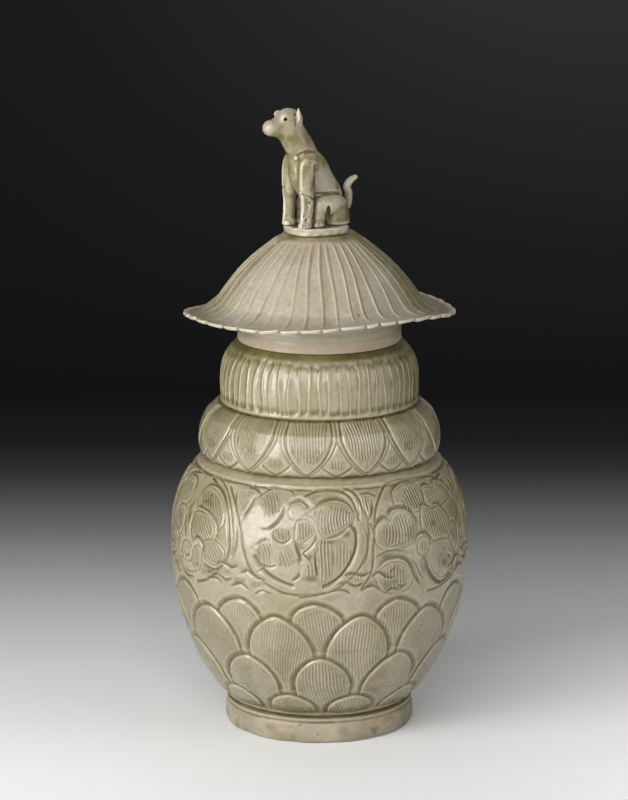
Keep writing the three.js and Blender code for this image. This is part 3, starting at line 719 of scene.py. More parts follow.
ROSETTE = {
    "shift": -5.2,
    "lines": [
        ([(8, 29), (15, 26.5), (23, 22.5), (29, 17), (34, 10.5), (37.5, 3.5), (40.5, -7.5), (39, -16),
          (31.5, -25), (23, -32), (12, -36)], 1.2, 0.75, 0),
        ([(12, 31), (20, 28), (28, 22.5), (34, 16), (39.5, 6), (43, -5), (42.5, -14)], 0.8, 0.45, 0),
        ([(-8, 29), (-20, 26), (-28, 19), (-33, 8), (-34.5, -6), (-31, -20), (-23, -30), (-10, -35.5)],
         1.1, 0.65, 0),
    ],
    "leaves": [
        ([(6.5, 16), (9, 21.5), (14, 22.5), (20.5, 20.5), (27, 16), (32, 9.5), (33, 4), (30.5, 0),
          (27, -1), (24.5, 3.5), (17, 8.5), (10.5, 8), (6.5, 10)],
         {"tilt": 34, "region": (22, 11, 10, 11), "pitch": 2.15, "start": 0.8}),
        ([(-4, 12), (-7, 21), (-16, 22), (-25, 16), (-30, 7), (-27, 0), (-19, 1), (-11, 6.5)],
         {"tilt": -32, "pitch": 2.15, "start": 1.2}),
        ([(5, 4), (9.5, 6.5), (15.5, 6.5), (22.5, 5), (26.5, -1), (25, -6.5), (18, -11.5), (12, -8.5),
          (7, -3)],
         {"tilt": 32, "region": (16, -1.5, 8.5, 8), "pitch": 2.15, "start": 0.7}),
        ([(-6, 5), (-13, 6), (-20, 2), (-24, -6), (-20, -13), (-12, -12), (-6, -5)],
         {"tilt": -26, "region": (-14, -3, 8, 7), "pitch": 2.15}),
        ([(19, -11), (22, -8.5), (28.5, -7.5), (35, -11), (37, -14.5), (34.5, -19.5), (28.5, -21.5),
          (22, -20), (18, -16)], {"tilt": 34, "region": (28.5, -14.5, 7, 5.5), "pitch": 2.15, "start": 0.6}),
        ([(-17, -13), (-24, -9), (-31, -12), (-32, -19), (-26, -25), (-19, -24), (-14, -18)],
         {"tilt": -34, "pitch": 2.15}),
        ([(8, -20), (11.5, -14.5), (15.5, -14), (17, -18), (16, -25), (12, -28.5), (8.5, -26)],
         {"tilt": 20, "region": (11, -19, 4, 5), "pitch": 2.1, "start": 0.5}),
        ([(-9, -26), (-3, -30), (5, -30.5), (11, -29), (6, -25.5), (-1, -25)], None),
        ([(-6, -19.5), (-4.5, -15.5), (0, -13.4), (5, -15), (7, -19.5), (5, -23.6), (0, -25),
          (-4.5, -23)], None),
    ],
    "cuts": [
        ([(4, 13), (8, 22.5), (14, 24.8), (21.4, 22.8), (28.5, 17.6), (34, 10.4)], 1.4, 1.0, -1),
        ([(6, 9.5), (12, 9.4), (18.5, 8.4), (25.6, 4.6), (29, -1.4), (27.4, -7)], 1.4, 1.05, -1),
        ([(-2.6, 15), (-7, 23), (-16, 24.4), (-26, 17.6), (-31.6, 7)], 1.2, 0.9, 1),
        ([(9, -11.5), (12, -8.6), (17, -12), (18, -17)], 1.6, 1.15, -1),
        ([(-2.5, -19.5), (-0.6, -22), (3, -21), (3, -17.6), (0, -16.4)], 0.9, 0.65, 0),
        ([(17.6, -21.5), (23, -23.4), (30, -24), (37, -19)], 1.5, 1.0, 1),
        ([(2, 10), (-1, 4), (-2, -4), (0, -11)], 1.5, 1.0, 1),
        ([(6, 6), (3.6, 0), (4.6, -7), (8, -12)], 1.1, 0.8, -1),
        ([(-12, -16), (-14, -9)], 1.2, 0.8, 1),
        ([(-8, -28), (0, -33.4), (9, -33)], 1.2, 0.8, 1),
    ],
    "patches": [((12, 17.6, 4, 3), {"tilt": 34}), ((-28, -4, 3.6, 5), {"tilt": -30})],
    "pools": [(13, -25.5, 3.4, 3), (-13, -15, 3, 4), (0.5, 2, 3.4, 5), (16, 14, 6, 3), (26, -27, 6, 2)],
}
PANEL_DESIGNS = ((LOTUS_FLOWER, False), (PEONY, False), (ROSETTE, True), (LOTUS_FLOWER, True),
                 (PEONY, True), (LOTUS_FLOWER, False), (ROSETTE, False))


def carve_panel(band, angle, design, flip):
    """Carves one design round an angle. Cuts come out wider and deeper than drawn, and combs longer."""
    s = band.at_height(PANEL_HEIGHT)
    shift = np.array([design["shift"], 0])

    def moved(points, closed=False):
        return smooth_line(np.array(points, float) + shift, closed=closed)

    for points, width, depth, lean in design["lines"]:
        band.cut(angle, s, moved(points), width * 1.2, depth * 1.2, lean, flip=flip)
    for points, comb in design["leaves"]:
        comb = dict(comb) if comb else None
        if comb and "region" in comb:
            cx, cy, rx, ry = comb["region"]
            comb["region"] = (cx + design["shift"], cy - 1, rx * 1.15, ry * 1.25)
        band.petal(angle, s, moved(points, closed=True), groove=1.8, depth=0.5, crown=0.45, comb=comb,
                   wetness=0.62, rim=0.5, flip=flip)
    for points, width, depth, lean in design["cuts"]:
        band.cut(angle, s, moved(points), width * 1.15, depth * 1.25, lean, taper=True, flip=flip)
    for (cx, cy, rx, ry), settings in design["patches"]:
        settings = {"pitch": 2.1, **settings}
        band.comb_patch(angle, s, (cx + design["shift"], cy, rx, ry), flip=flip, **settings)
    for cx, cy, rx, ry in design["pools"]:
        cx = -cx - design["shift"] if flip else cx + design["shift"]
        cells, x, y = band.window(angle, s, abs(cx) + rx + 1, cy - ry - 1, cy + ry + 1)
        spot = 1 - smoothstep(0.1, 1.1, np.hypot((x - cx) / rx, (y - cy) / ry))
        band.relief[cells] -= 0.4 * spot
        band.darken(spot * 0.75, cells)


# Strokes between the round panels, each with its width, depth and lean
FILLER_CUTS = (
    ([(-2, 27.4), (3.5, 27), (8.6, 24.4)], 1.4, 1.0, -1),
    ([(-6.4, 25), (-4.6, 19), (-2.2, 13)], 1.2, 0.8, 1),
    ([(6.4, 24), (4.6, 16), (1.4, 8.6)], 1.2, 0.9, -1),
    ([(-1.6, 6), (0.6, -1), (0, -9), (-2.4, -17)], 1.1, 0.8, 0),
    ([(-17, -22.5), (-10.5, -20.6), (-4, -22.4), (2, -20)], 1.6, 1.15, -1),
    ([(-19, -27.6), (-13.4, -25.6), (-7, -28), (-1, -26)], 1.4, 1.0, 1),
    ([(2, -25.8), (7.5, -23.4), (13.6, -27), (19.5, -27.6)], 1.6, 1.15, -1),
    ([(-24, -31.6), (-17, -30.4), (-11, -33.2)], 1.3, 0.95, -1),
    ([(-5, -33), (2, -30.4), (8.4, -33.6)], 1.5, 1.1, -1),
    ([(11, -34.6), (16.4, -31.4), (23.4, -33)], 1.3, 0.95, 1),
    ([(14, -22), (18.6, -18.6)], 1.2, 0.8, 1),
)
FILLER_COMBS = ((-0.4, 19, 5, 6), (-9.4, -24, 5, 2.2), (3, -28.4, 4, 2), (-26, -27, 3.6, 2.4),
                (14.4, -29.6, 4, 2))


def carve_fillers(band):
    """Loose strokes and comb marks that fill the corners between the round panels."""
    s = band.at_height(PANEL_HEIGHT)
    rng = np.random.default_rng(17)
    for k in range(PANELS):
        angle = FIRST_PANEL + (k + 0.5) * 360 / PANELS
        flip = k % 2 == 1
        for points, width, depth, lean in FILLER_CUTS:
            points = np.array(points) + rng.uniform(-1, 1, 2)
            band.cut(angle, s, smooth_line(points), width, depth, lean, taper=True, flip=flip)
        for cx, cy, rx, ry in FILLER_COMBS:
            band.comb_patch(angle, s, (cx + rng.uniform(-1, 1), cy, rx, ry), tilt=rng.uniform(-16, 16),
                            strength=0.8, flip=flip)


def carve_belly():
    band = Band(belly_outline(), columns=880, spacing=0.68)
    for k, (design, flip) in enumerate(PANEL_DESIGNS):
        carve_panel(band, FIRST_PANEL + k * 360 / PANELS, design, flip)
    carve_fillers(band)
    carve_lotus(band)
    band.ring(163.5, 0.7, 0.5, seed=3)
    band.ring(165.2, 0.8, -0.35, seed=4)
    band.ring(18.6, 0.9, -0.7, seed=5)
    low = 1 - smoothstep(0.5, 5.5, np.abs(band.z - 21.3))[:, None]
    band.darken(low * (0.75 + 0.25 * band.drift(8)))
    ledge = smoothstep(band.s[-1] - 4.5, band.s[-1] - 1, band.s)[:, None]
    band.darken(ledge * (0.4 + 0.35 * band.drift(9)))
    flank_shade_and_patches(band, 0.36, 10)
    low = (1 - smoothstep(45, 82, band.z))[:, None] * smoothstep(-0.5, 0.8, wander(band.angle * 3, 0, 18))
    band.pool += 0.3 * low * (1 - band.edge)
    band.relief += 0.16 * wander(band.angle * 5, band.s[:, None] * 0.22, 6)
    band.relief += 0.12 * wander(-band.angle * 7, band.s[:, None] * 0.3, 7)
    return band


def flank_shade_and_patches(band, share, seed):
    """Painted shade on the sides of the jar, darker than in front, over patches of thicker glaze everywhere.
    """
    # side: painted shade, growing from the front towards the flanks
    side = smoothstep(28, 72, np.abs(band.degrees))[None, :]
    patches = 0.5 + 0.5 * wander(band.angle * 2, band.s[:, None] * 0.05, seed)
    layer = share * (0.25 + 0.75 * side) * (0.45 + 0.75 * patches)
    band.pool = np.clip(band.pool + layer * (1 - 0.7 * band.edge), 0, 1.3)


def inner_rows(outline, wall, low, high, spacing=4):
    """Plain rows for the inside of a wall, from the top down."""
    rough = evenly(outline, spacing)
    moved = rough - normals(rough) * wall
    keep = (moved[:, 1] > low) & (moved[:, 1] < high)
    return moved[keep][::-1]


def orange_spots(band, spots):
    """Patches of orange clay: angle, height, half width and half height in mm."""
    field = np.zeros(band.relief.shape)
    for angle, z, wide, tall in spots:
        cells, x, y = band.around(angle, z, wide * 1.4, tall * 1.4)
        ragged = 0.25 * wander(x * 0.15, y * 0.5, int(z) + 1)
        far = np.hypot(x / wide, y / tall) + ragged
        field[cells] = np.maximum(field[cells], 1 - smoothstep(0.5, 1.1, far))
    return field


def build_belly():
    band = carve_belly()
    mouth, base = BELLY_TOP_RADIUS - BELLY_WALL, BELLY_BOTTOM + 7
    bottom = [(r, BELLY_BOTTOM) for r in (0, 30, 46, 52.6)]
    wall = inner_rows(belly_outline(), BELLY_WALL, base + BELLY_WALL, BELLY_TOP - 2)
    inside_rows = [(mouth + 0.8, BELLY_TOP), (mouth, BELLY_TOP - 0.6), *wall, (46, base + 1.5), (40, base),
                   (20, base - 0.3), (0, base - 0.3)]
    orange = orange_spots(band, [(29, 42, 9, 3.2), (40, 19, 12, 2.4), (24, 76, 5, 5), (-150, 60, 9, 4)])
    turned("belly_carved", "jar", "belly", "olive_glaze", OLIVE, band.angle,
           *stacked(band, inside_rows, {"orange": orange}, bottom))


build_belly()


# Lower tier: petals that point down, each with a double outline, and small ones behind them

LOWER_BOTTOM, LOWER_TOP = 169.9, 201.5
LOWER_RADIUS, LOWER_TOP_RADIUS, LOWER_MOUTH, LOWER_WALL = 72.4, 61.2, 54.1, 6.3
DOWN_PETALS = 13
FIRST_DOWN_PETAL = -5.9


def lower_outline():
    return swept((LOWER_RADIUS, LOWER_BOTTOM), (LOWER_TOP_RADIUS, LOWER_TOP), (-0.46, 0.56), (0.6, 0.1))


def down_petal(band, s, half_angle, taper, length, lean, margin):
    """The outline of a petal with its tip at the bottom, from its top left round to its top right."""
    up = length * np.linspace(0, 1, 26) ** 1.4
    share = np.clip(up / taper, 0, 1)
    width = np.sin(share * math.pi / 2) ** 0.8
    half = width * (half_angle * band.radius_at(s + up) - margin)
    sway = lean * (1 - share) ** 2
    left = np.column_stack([sway - half, up])[::-1]
    right = np.column_stack([sway + half, up])
    return np.vstack([left, right[1:]])


def build_lower_tier():
    band = Band(lower_outline(), columns=760, spacing=0.55)
    rng = np.random.default_rng(23)
    pitch = 360 / DOWN_PETALS
    top = band.s[-1]
    places = [FIRST_DOWN_PETAL + k * pitch + rng.uniform(-1.4, 1.4) for k in range(DOWN_PETALS)]
    for angle in places:
        s = 1.4 + rng.uniform(-0.4, 0.5)
        line = down_petal(band, s, math.radians(pitch * 0.36), 13, 17, rng.uniform(-1, 1), 1)
        band.petal(angle + pitch / 2, s, line, groove=1.9, depth=0.8, crown=0.3)
        band.comb_patch(angle + pitch / 2, s, (rng.uniform(-1, 1), 6.8, 4.6, 2.6), tilt=rng.uniform(-6, 6))
    for angle in places:
        s = 2.2 + rng.uniform(-0.5, 0.8)
        lean = rng.uniform(-1.2, 1.2)
        half = math.radians(pitch / 2)
        outer = down_petal(band, s - 2.2, half, 27, top - s + 2.2, lean, 0)
        line = down_petal(band, s, half, 25, top - s, lean, 3.4)
        band.petal(angle, s, line, groove=2.3, depth=1.0, crown=0.35,
                   comb={"tilt": rng.uniform(-7, 7), "fan": -0.8, "start": 1.8, "strength": 0.75,
                         "region": (rng.uniform(-2, 2), 24, 12, rng.uniform(16, 20))})
        band.cut(angle, s - 2.2, outer, 0.8, 0.6)
        band.comb_patch(angle, s, (rng.uniform(-3, 3), rng.uniform(9, 12), 4, 2), tilt=rng.uniform(-5, 5))
    band.relief += 0.3 * bell(band.z - 194.6, 1.6)[:, None]
    low = bell(band.s, 1.6)[:, None]
    band.relief -= 0.5 * low
    band.darken(low)
    high = smoothstep(top - 2.4, top - 0.4, band.s)[:, None]
    band.darken(high * (0.9 + 0.3 * band.drift(14)))
    slope = smoothstep(195, 199, band.z)[:, None]
    band.darken(slope * (0.3 + 0.25 * wander(band.angle * 2, 0, 16)))
    flank_shade_and_patches(band, 0.36, 15)
    mouth = LOWER_MOUTH
    wall = inner_rows(lower_outline(), LOWER_WALL, LOWER_BOTTOM + 1, LOWER_TOP - 5)
    wall = wall[wall[:, 0] > mouth + 1]
    inside_rows = [(mouth + 0.6, LOWER_TOP), (mouth, LOWER_TOP - 0.6), (mouth, LOWER_TOP - 5.8), *wall,
                   (64.4, LOWER_BOTTOM)]
    turned("lower_tier_carved", "jar", "lower_shoulder_tier", "olive_glaze", OLIVE, band.angle,
           *stacked(band, inside_rows))


build_lower_tier()


# Upper tier: flutes scooped out by hand

UPPER_BOTTOM, UPPER_TOP = 201.8, 239.4
UPPER_RADIUS, SEAT_RADIUS, NECK_BORE, UPPER_WALL = 60.1, 50.1, 40, 6
FLUTES = 62


def upper_outline():
    return swept((UPPER_RADIUS, UPPER_BOTTOM), (SEAT_RADIUS, UPPER_TOP), (-0.2, 0.66), (0.88, 0.23))


def strips(band, count, jitter, slant, seed):
    """Splits the band into upright strips with uneven edges: each cell's strip and place across it."""
    rng = np.random.default_rng(seed)
    pitch = 2 * math.pi / count
    edges = -math.pi + pitch * (np.arange(count) + rng.uniform(-jitter, jitter, count))
    lean = rng.normal(0, slant, count)
    phase = rng.uniform(0, 6.28, count)
    number = np.zeros(band.relief.shape, int)
    across = np.zeros(band.relief.shape)
    for row, s in enumerate(band.s):
        share = s / band.s[-1]
        line = edges + pitch * (lean * (0.5 - share) + 0.09 * np.sin(7 * share + phase))
        ends = np.append(line, line[0] + 2 * math.pi)
        angle = np.where(band.angle < ends[0], band.angle + 2 * math.pi, band.angle)
        spot = np.clip(np.searchsorted(ends, angle, side="right") - 1, 0, count - 1)
        number[row] = spot
        across[row] = (angle - ends[spot]) / (ends[spot + 1] - ends[spot])
    return number, across


def build_upper_tier():
    band = Band(upper_outline(), columns=1116, spacing=0.6)
    rng = np.random.default_rng(31)
    number, across = strips(band, FLUTES, jitter=0.12, slant=0.22, seed=32)
    start = band.at_height(205.4) + rng.uniform(-0.7, 0.9, FLUTES)[number]
    stop = band.at_height(235.6) + rng.uniform(-1.3, 1.0, FLUTES)[number]
    depth = rng.uniform(0.6, 0.85, FLUTES)[number]
    skew = np.clip(across, 0, 1) ** rng.uniform(0.7, 1.25, FLUTES)[number]
    scoop = (4 * skew * (1 - skew)) ** 0.62
    arch = 2.6 * (1 - 4 * (across - 0.5) ** 2)
    s = band.s[:, None]
    length = smoothstep(0, 3.2, s - start + arch) * (1 - smoothstep(-3.2, 0.8, s - stop - arch + 2))
    band.relief = -depth * scoop * length
    ridge = np.minimum(across, 1 - across) / 0.5
    near = bell(ridge, 0.15) * length * (1 - smoothstep(-7, -2, s - stop))
    band.edge = near * rng.uniform(0.35, 0.9, FLUTES)[number]
    # Painted shade on the right side of each flute, away from the key light
    painted_shade = smoothstep(0.5, 0.95, across) * length
    ends = length * (smoothstep(-5.5, 0.2, s - stop - arch + 2) + 0.7 * (1 - smoothstep(0.5, 4, s - start)))
    # Painted shade: 0.18 all over for the shadow of the lid's brim, more on each flute's right side; the ends
    # are pooled glaze
    band.pool = np.clip(0.18 + 0.45 * painted_shade + 0.8 * ends, 0, 1.1) * (1 - near)
    band.ring(203.4, 0.8, -0.25, seed=33)
    low = bell(band.s, 1.3)[:, None]
    high = smoothstep(band.s[-1] - 7, band.s[-1] - 2, band.s)[:, None]
    band.darken(np.maximum(low, high * (0.85 + 0.3 * band.drift(34))))
    flank_shade_and_patches(band, 0.4, 35)
    wall = inner_rows(upper_outline(), UPPER_WALL, UPPER_BOTTOM + 1, UPPER_TOP - 5.5)
    wall = wall[wall[:, 0] > NECK_BORE + 1]
    inside_rows = [(47, UPPER_TOP), (42, UPPER_TOP), (NECK_BORE, UPPER_TOP), (NECK_BORE, UPPER_TOP - 6),
                   *wall, (54.1, UPPER_BOTTOM), (54.6, UPPER_BOTTOM - 0.5), (59.4, UPPER_BOTTOM - 0.5)]
    turned("upper_tier_fluted", "jar", "upper_shoulder_tier", "olive_glaze", OLIVE, band.angle,
           *stacked(band, inside_rows))


build_upper_tier()


# Foot ring and neck

FOOT_HEIGHT, FOOT_BORE, FOOT_BEVEL = 15.6, 47.4, 1.1
# Chips in the lower edge: angle, half width in degrees and depth
FOOT_CHIPS = ((-17, 3.5, 1.1), (9, 7, 0.5), (-48, 5, 0.7), (36, 6, 0.45), (75, 4, 0.8), (140, 5, 0.9),
              (-120, 7, 0.7), (-160, 4, 0.6))


def build_foot():
    outline = bezier((56.7, 0), (58.8, 1.8), (58.7, 7.8), (56.6, FOOT_HEIGHT))
    band = Band(outline, columns=620, spacing=0.55)
    rng = np.random.default_rng(41)
    s = band.s[:, None]
    band.relief += 0.16 * wander(band.angle, s * 0.5, 42) - 0.12
    for _ in range(24):
        angle, z = rng.uniform(-180, 180), rng.uniform(2.5, 12.5)
        size = rng.uniform(0.5, 1.1)
        cells, x, y = band.around(angle, z, 4, 3)
        pit = bell(np.hypot(x, y * 1.3), size)
        band.relief[cells] -= pit * rng.uniform(0.4, 0.8)
        band.darken(pit * 0.9, cells)
    chips = sum(bell(band.degrees - middle, wide) * depth for middle, wide, depth in FOOT_CHIPS)
    band.relief -= chips[None, :] * bell(s, 1.6)
    band.ring(13.2, 0.8, 0.25, seed=46)
    band.ring(14.7, 0.75, -0.5, seed=43)
    green = wander(band.angle * 3, 0 * s, 44) * wander(band.angle, s * 0.25, 47)
    green = np.clip(0.8 * green + 0.12, 0, 1)
    for _ in range(16):
        angle, z = rng.uniform(-180, 180), rng.uniform(1, 13)
        wide, tall = rng.uniform(3, 8), rng.uniform(2, 5)
        cells, x, y = band.around(angle, z, wide * 1.3, tall * 1.3)
        blot = 1 - smoothstep(0.2, 1.1, np.hypot(x / wide, y / tall) + 0.2 * np.sin(1.3 * x + 0.9 * y))
        green[cells] = np.maximum(green[cells], blot * rng.uniform(0.3, 0.8))
    # Olive at least 0.55 on the right side: painted shade away from the key light, over the green blots of
    # glaze
    band.darken(np.maximum(green, 0.55 * smoothstep(25, 70, band.degrees)))
    band.darken(0.9 * smoothstep(band.s[-1] - 1.2, band.s[-1], s))
    bare = 0.3 * smoothstep(0.2, 0.9, 0.35 + 0.6 * wander(band.angle * 2, s * 0.25, 45))
    orange = 0.7 * orange_spots(band, [(3, 6, 3, 5), (40, 11, 12, 4), (24, 14, 6, 1.5), (-22, 9, 5, 3),
                                       (-100, 8, 12, 6), (160, 6, 16, 5)])
    inside_rows = [(50, FOOT_HEIGHT), (FOOT_BORE, FOOT_HEIGHT), (FOOT_BORE, 8), (FOOT_BORE, FOOT_BEVEL),
                   (FOOT_BORE + FOOT_BEVEL, 0), (52, 0), (55.4, 0)]
    radii, heights, grids = stacked(band, inside_rows, {"bare": bare, "orange": orange})
    turned("foot_ring_worn", "jar", "foot_ring", "thin_glaze", THIN, band.angle, radii,
           np.maximum(heights, 0), grids)


def build_neck():
    low, top, radius, bore = 239.3, 261.7, 44.4, NECK_BORE
    lip = bezier((radius, top - 1.5), (radius, top - 0.4), (43.4, top), (42.3, top))
    outline = np.vstack([[(radius, low), (radius, 246), (radius, 254)], lip])
    band = Band(outline, columns=300, spacing=0.6)
    band.relief -= 0.12 + 0.1 * np.sin(band.s * 2.1)[:, None] + 0.04 * band.drift(51)
    bare = smoothstep(0.2, 0.8, 0.6 + 0.5 * wander(band.angle, band.s[:, None] * 0.2, 52))
    inner = bezier((41.6, top), (40.6, top), (bore, top - 0.6), (bore, top - 1.8), 8)
    turned("neck_glazed", "jar", "mouth_neck", "thin_glaze", THIN, band.angle,
           *stacked(band, [*inner, (bore, 252), (bore, 244), (bore, low)], {"bare": bare}))


build_foot()
build_neck()


# Lid: a ribbed canopy with a pinched rim, and the collar under it

BRIM_RADIUS, BRIM_HEIGHT = 82, 258.7
FLARE_RADIUS, FLARE_HEIGHT = 62.4, 265.2
CROWN_RADIUS, CROWN_HEIGHT = 21.9, 305.4
CROWN_WALL, BRIM_WALL = 4.6, 2.4
RIBS = 40
# Lumps and pits: angle, height, size, how far they stand out, and how pale and how pooled they are
CANOPY_MARKS = (
    (-70, 300.4, 0.9, 0.9, 1.0, 0), (14.5, 266, 2.6, 0.35, 0.9, 0), (17, 266.4, 1.4, 0.2, 1.0, 0),
    (22, 265.6, 0.7, -0.3, 0, 1.2), (-37, 268, 1.6, 0.3, 0.9, 0), (-29, 266, 1.1, 0.25, 0.8, 0),
    (60, 291, 0.8, -0.4, 0, 1.1), (130, 280, 1.2, -0.3, 0, 0.9), (-140, 270, 2.2, 0.3, 0.8, 0),
)


def canopy_outline():
    """From the brim up the flare and the dome to the crown."""
    middle = (FLARE_RADIUS, FLARE_HEIGHT)
    flare = swept((BRIM_RADIUS, BRIM_HEIGHT), middle, (0.45, -0.09), (0.26, 0.64))
    dome = swept(middle, (CROWN_RADIUS, CROWN_HEIGHT), (0.34, 0.478), (0.535, 0.4))
    return np.vstack([flare, dome[1:]])


def canopy_underside(outline):
    """From the crown out to the brim, under a wall that thins outwards."""
    wall = mix(CROWN_WALL, BRIM_WALL, smoothstep(52.6, BRIM_RADIUS, outline[:, 0]))[:, None]
    return (outline - normals(outline) * wall)[::-1]


def brim_wave(angle, radii):
    """How far the brim is bent up or down, in mm: it is tilted, saddled and has three lobes."""
    tilt = 4.1 * np.cos(angle - math.radians(32))
    saddle = 1.6 * np.cos(2 * (angle + math.radians(11)))
    lobes = 2.3 * np.cos(3 * (angle - math.radians(44)))
    return (tilt + saddle + lobes) * smoothstep(58.5, BRIM_RADIUS, radii)


def carve_canopy(band, across, number, rng):
    """Ribs with a groove on one side, glaze that has run, painted shade on the flanks and the right side, and
    marks.
    """
    s, top = band.s[:, None], band.s[-1]
    pitch = 2 * math.pi / RIBS * band.r[:, None]
    signed = np.where(across < 0.5, across, across - 1) * pitch
    start = (4.5 + rng.uniform(-1, 4, RIBS))[number]
    strength = smoothstep(0, 9, s - start) * (1 - smoothstep(top - 9, top - 2.5, s))
    strength *= 0.75 + 0.35 * wander(band.angle, s * 0.05, 63)
    strength *= rng.uniform(0.6, 1.15, RIBS)[number]
    ridge = bell(signed, 0.62)
    lee = bell(signed - 1.5, 0.75)
    # flank: the canopy's sides as seen from the front, where painted shade goes
    flank = smoothstep(48, 68, np.abs(band.degrees))[None, :]
    band.relief = strength * (0.56 * ridge - 0.34 * lee - 0.16 * 4 * across * (1 - across)) - 0.58
    # The pale crests are weaker on the flanks: painted shade
    band.edge = np.clip(bell(signed + 0.1, 0.7) * strength * (0.75 - 0.25 * flank), 0, 1)
    flow = 0.5 + 0.5 * wander(band.angle, s * 0.02, 64)
    streak = smoothstep(0.2, 1.0, wander(band.angle * 4, s * 0.012, 66))
    band.pool = 0.45 * lee * strength + 0.2 * streak + rng.uniform(0, 0.16, RIBS)[number]
    # Painted shade: olive on both flanks and more on the right, away from the key light; the crown and rim
    # bands below also reach further on the flanks
    side = flank * (0.32 + 0.35 * flow) + 0.15 * smoothstep(44, 66, band.degrees)[None, :]
    band.darken(side * smoothstep(1.5, 4, s) * (1 - 0.55 * band.edge))
    crown = smoothstep(top - 6 - 5 * flank, top - 1.5, s)
    band.darken(crown * (0.7 + 0.3 * band.drift(68)))
    rim_line = bell(s - 3.4 - 0.6 * band.drift(67), 1.0)
    band.darken(rim_line * (0.4 + 0.2 * flank))
    for angle, z, size, height, edge, pool in CANOPY_MARKS:
        cells, x, y = band.around(angle, z, size * 3, size * 3)
        near = bell(np.hypot(x, y), size)
        band.relief[cells] += height * near
        band.edge[cells] = np.maximum(band.edge[cells], near * edge)
        band.pool[cells] = np.maximum(band.pool[cells] * (1 - near * edge), near * pool)


def build_canopy():
    outline = canopy_outline()
    band = Band(outline, columns=1000, spacing=0.7)
    rng = np.random.default_rng(61)
    number, across = strips(band, RIBS, jitter=0.13, slant=0.16, seed=62)
    carve_canopy(band, across, number, rng)
    orange = 0.35 * orange_spots(band, [(-13, 299, 4.5, 7), (-7, 259.4, 9, 1.6), (11, 259.2, 5, 1.2),
                                        (150, 285, 8, 9)])
    underside = canopy_underside(evenly(outline, 2.5))
    underside = underside[underside[:, 0] < BRIM_RADIUS - 1]
    lip = bezier((BRIM_RADIUS - 0.6, BRIM_HEIGHT - 2.5), (BRIM_RADIUS + 0.4, BRIM_HEIGHT - 2.4),
                 (BRIM_RADIUS + 0.9, BRIM_HEIGHT - 0.5), (BRIM_RADIUS - 0.1, BRIM_HEIGHT - 0.1), 9)
    ceiling = CROWN_HEIGHT - CROWN_WALL
    below = [(0, ceiling), (12, ceiling), *underside, *lip[:-1]]
    summit = band.skin()[1][-1].mean()
    radii, heights, grids = stacked(band, [(12, summit), (0, summit)], {"orange": orange}, below)

    # The rim is pinched beside every rib, and each fold between two pinches is tipped a little
    fold = across[0]
    pinch = bell(np.minimum(fold, 1 - fold), 0.075) * rng.uniform(0.5, 1.15, RIBS)[number[0]]
    tip = (fold - 0.5) * (1 - np.clip(pinch, 0, 1)) * rng.uniform(-0.4, 1.5, RIBS)[number[0]]
    swell = 4 * fold * (1 - fold)
    outwards = smoothstep(BRIM_RADIUS - 5, BRIM_RADIUS, radii)
    radii = radii + outwards * (-1.7 * pinch + 0.7 * swell - 0.4)[None, :]
    heights = heights + outwards * (1.15 * tip + 0.3 * pinch + 0.35 * wander(band.angle * 2, 0, 65))[None, :]
    heights = heights + brim_wave(band.angle[None, :], radii)

    pinch = np.clip(pinch, 0, 1)
    edge = np.maximum(grids["edge"], outwards ** 4 * (1 - pinch)[None, :])
    pool = np.maximum(grids["pool"] * (1 - outwards ** 4), outwards ** 2 * pinch[None, :] * 1.1)
    lip_middle = bell(np.arange(len(radii)) - len(below) + len(lip) / 2, 1.3)[:, None]
    grids["edge"] = edge * (1 - 0.7 * lip_middle)
    grids["pool"] = np.maximum(pool, lip_middle * 0.35 * swell[None, :])
    turned("lid_canopy_ribbed", "lid", "lid_canopy", "grey_glaze", GREY, band.angle, radii, heights, grids)


def build_collar():
    under = canopy_underside(canopy_outline())
    seat, bore, radius, lip = 239.7, 45.2, 49.8, 0.9
    top_out, top_in = [float(np.interp(r, under[:, 0], under[:, 1])) + 0.3 for r in (radius, bore)]
    outline = np.array([(radius - lip, seat), (radius - 0.25, seat + 0.25), (radius, seat + lip),
                        (radius, 250), (radius, 262), (radius, top_out)])
    band = Band(outline, columns=420, spacing=0.6)
    s = band.s[:, None]
    degrees = band.degrees[None, :]
    rings = 0.08 * np.sin(s * 1.3 + 2 * band.drift(71))
    band.relief += rings + 0.06 * wander(band.angle, s, 72) - 0.1
    border = 5.4 + 1.8 * band.drift(73)
    bare = 1 - smoothstep(-1.6, 1.8, s - border[None, :])
    blotch = smoothstep(0.0, 0.7, wander(band.angle * 2, s * 0.2, 74))
    grit = bell(s, 1.0) * smoothstep(-0.4, 0.5, wander(band.angle * 6, 0, 75))
    brushed = smoothstep(-0.2, 1.0, np.sin(s * 2.6 + 1.5 * band.drift(77)))
    # side: the collar's flanks as seen from the front, where painted shade adds olive and takes out pale edge
    side = smoothstep(25, 75, np.abs(degrees))
    band.pool = np.clip(0.06 * brushed + 0.42 * side * (1 - 0.5 * bare), 0, 1)
    band.darken(1.1 * grit)
    # A painted highlight: a pale streak on the left front, where the key light falls
    painted_highlight = smoothstep(-62, -45, degrees) * (1 - smoothstep(-38, -18, degrees)) * smoothstep(6, 9, s)
    band.edge = np.maximum(0.6 * painted_highlight, (0.3 + 0.35 * (1 - brushed)) * (1 - 0.8 * side))
    inside_rows = [(bore + 2, top_in), (bore, top_in), (bore, 262), (bore, 250), (bore, seat + lip),
                   (bore + lip, seat), (radius - 1.6, seat)]
    clay = {"bare": bare * 0.75, "orange": bare * (0.16 + 0.3 * blotch)}
    turned("lid_collar_worn", "lid", "lid_collar", "thin_glaze", THIN, band.angle,
           *stacked(band, inside_rows, clay))


build_canopy()
build_collar()


# Plinth: a hand-cut slab with soft corners

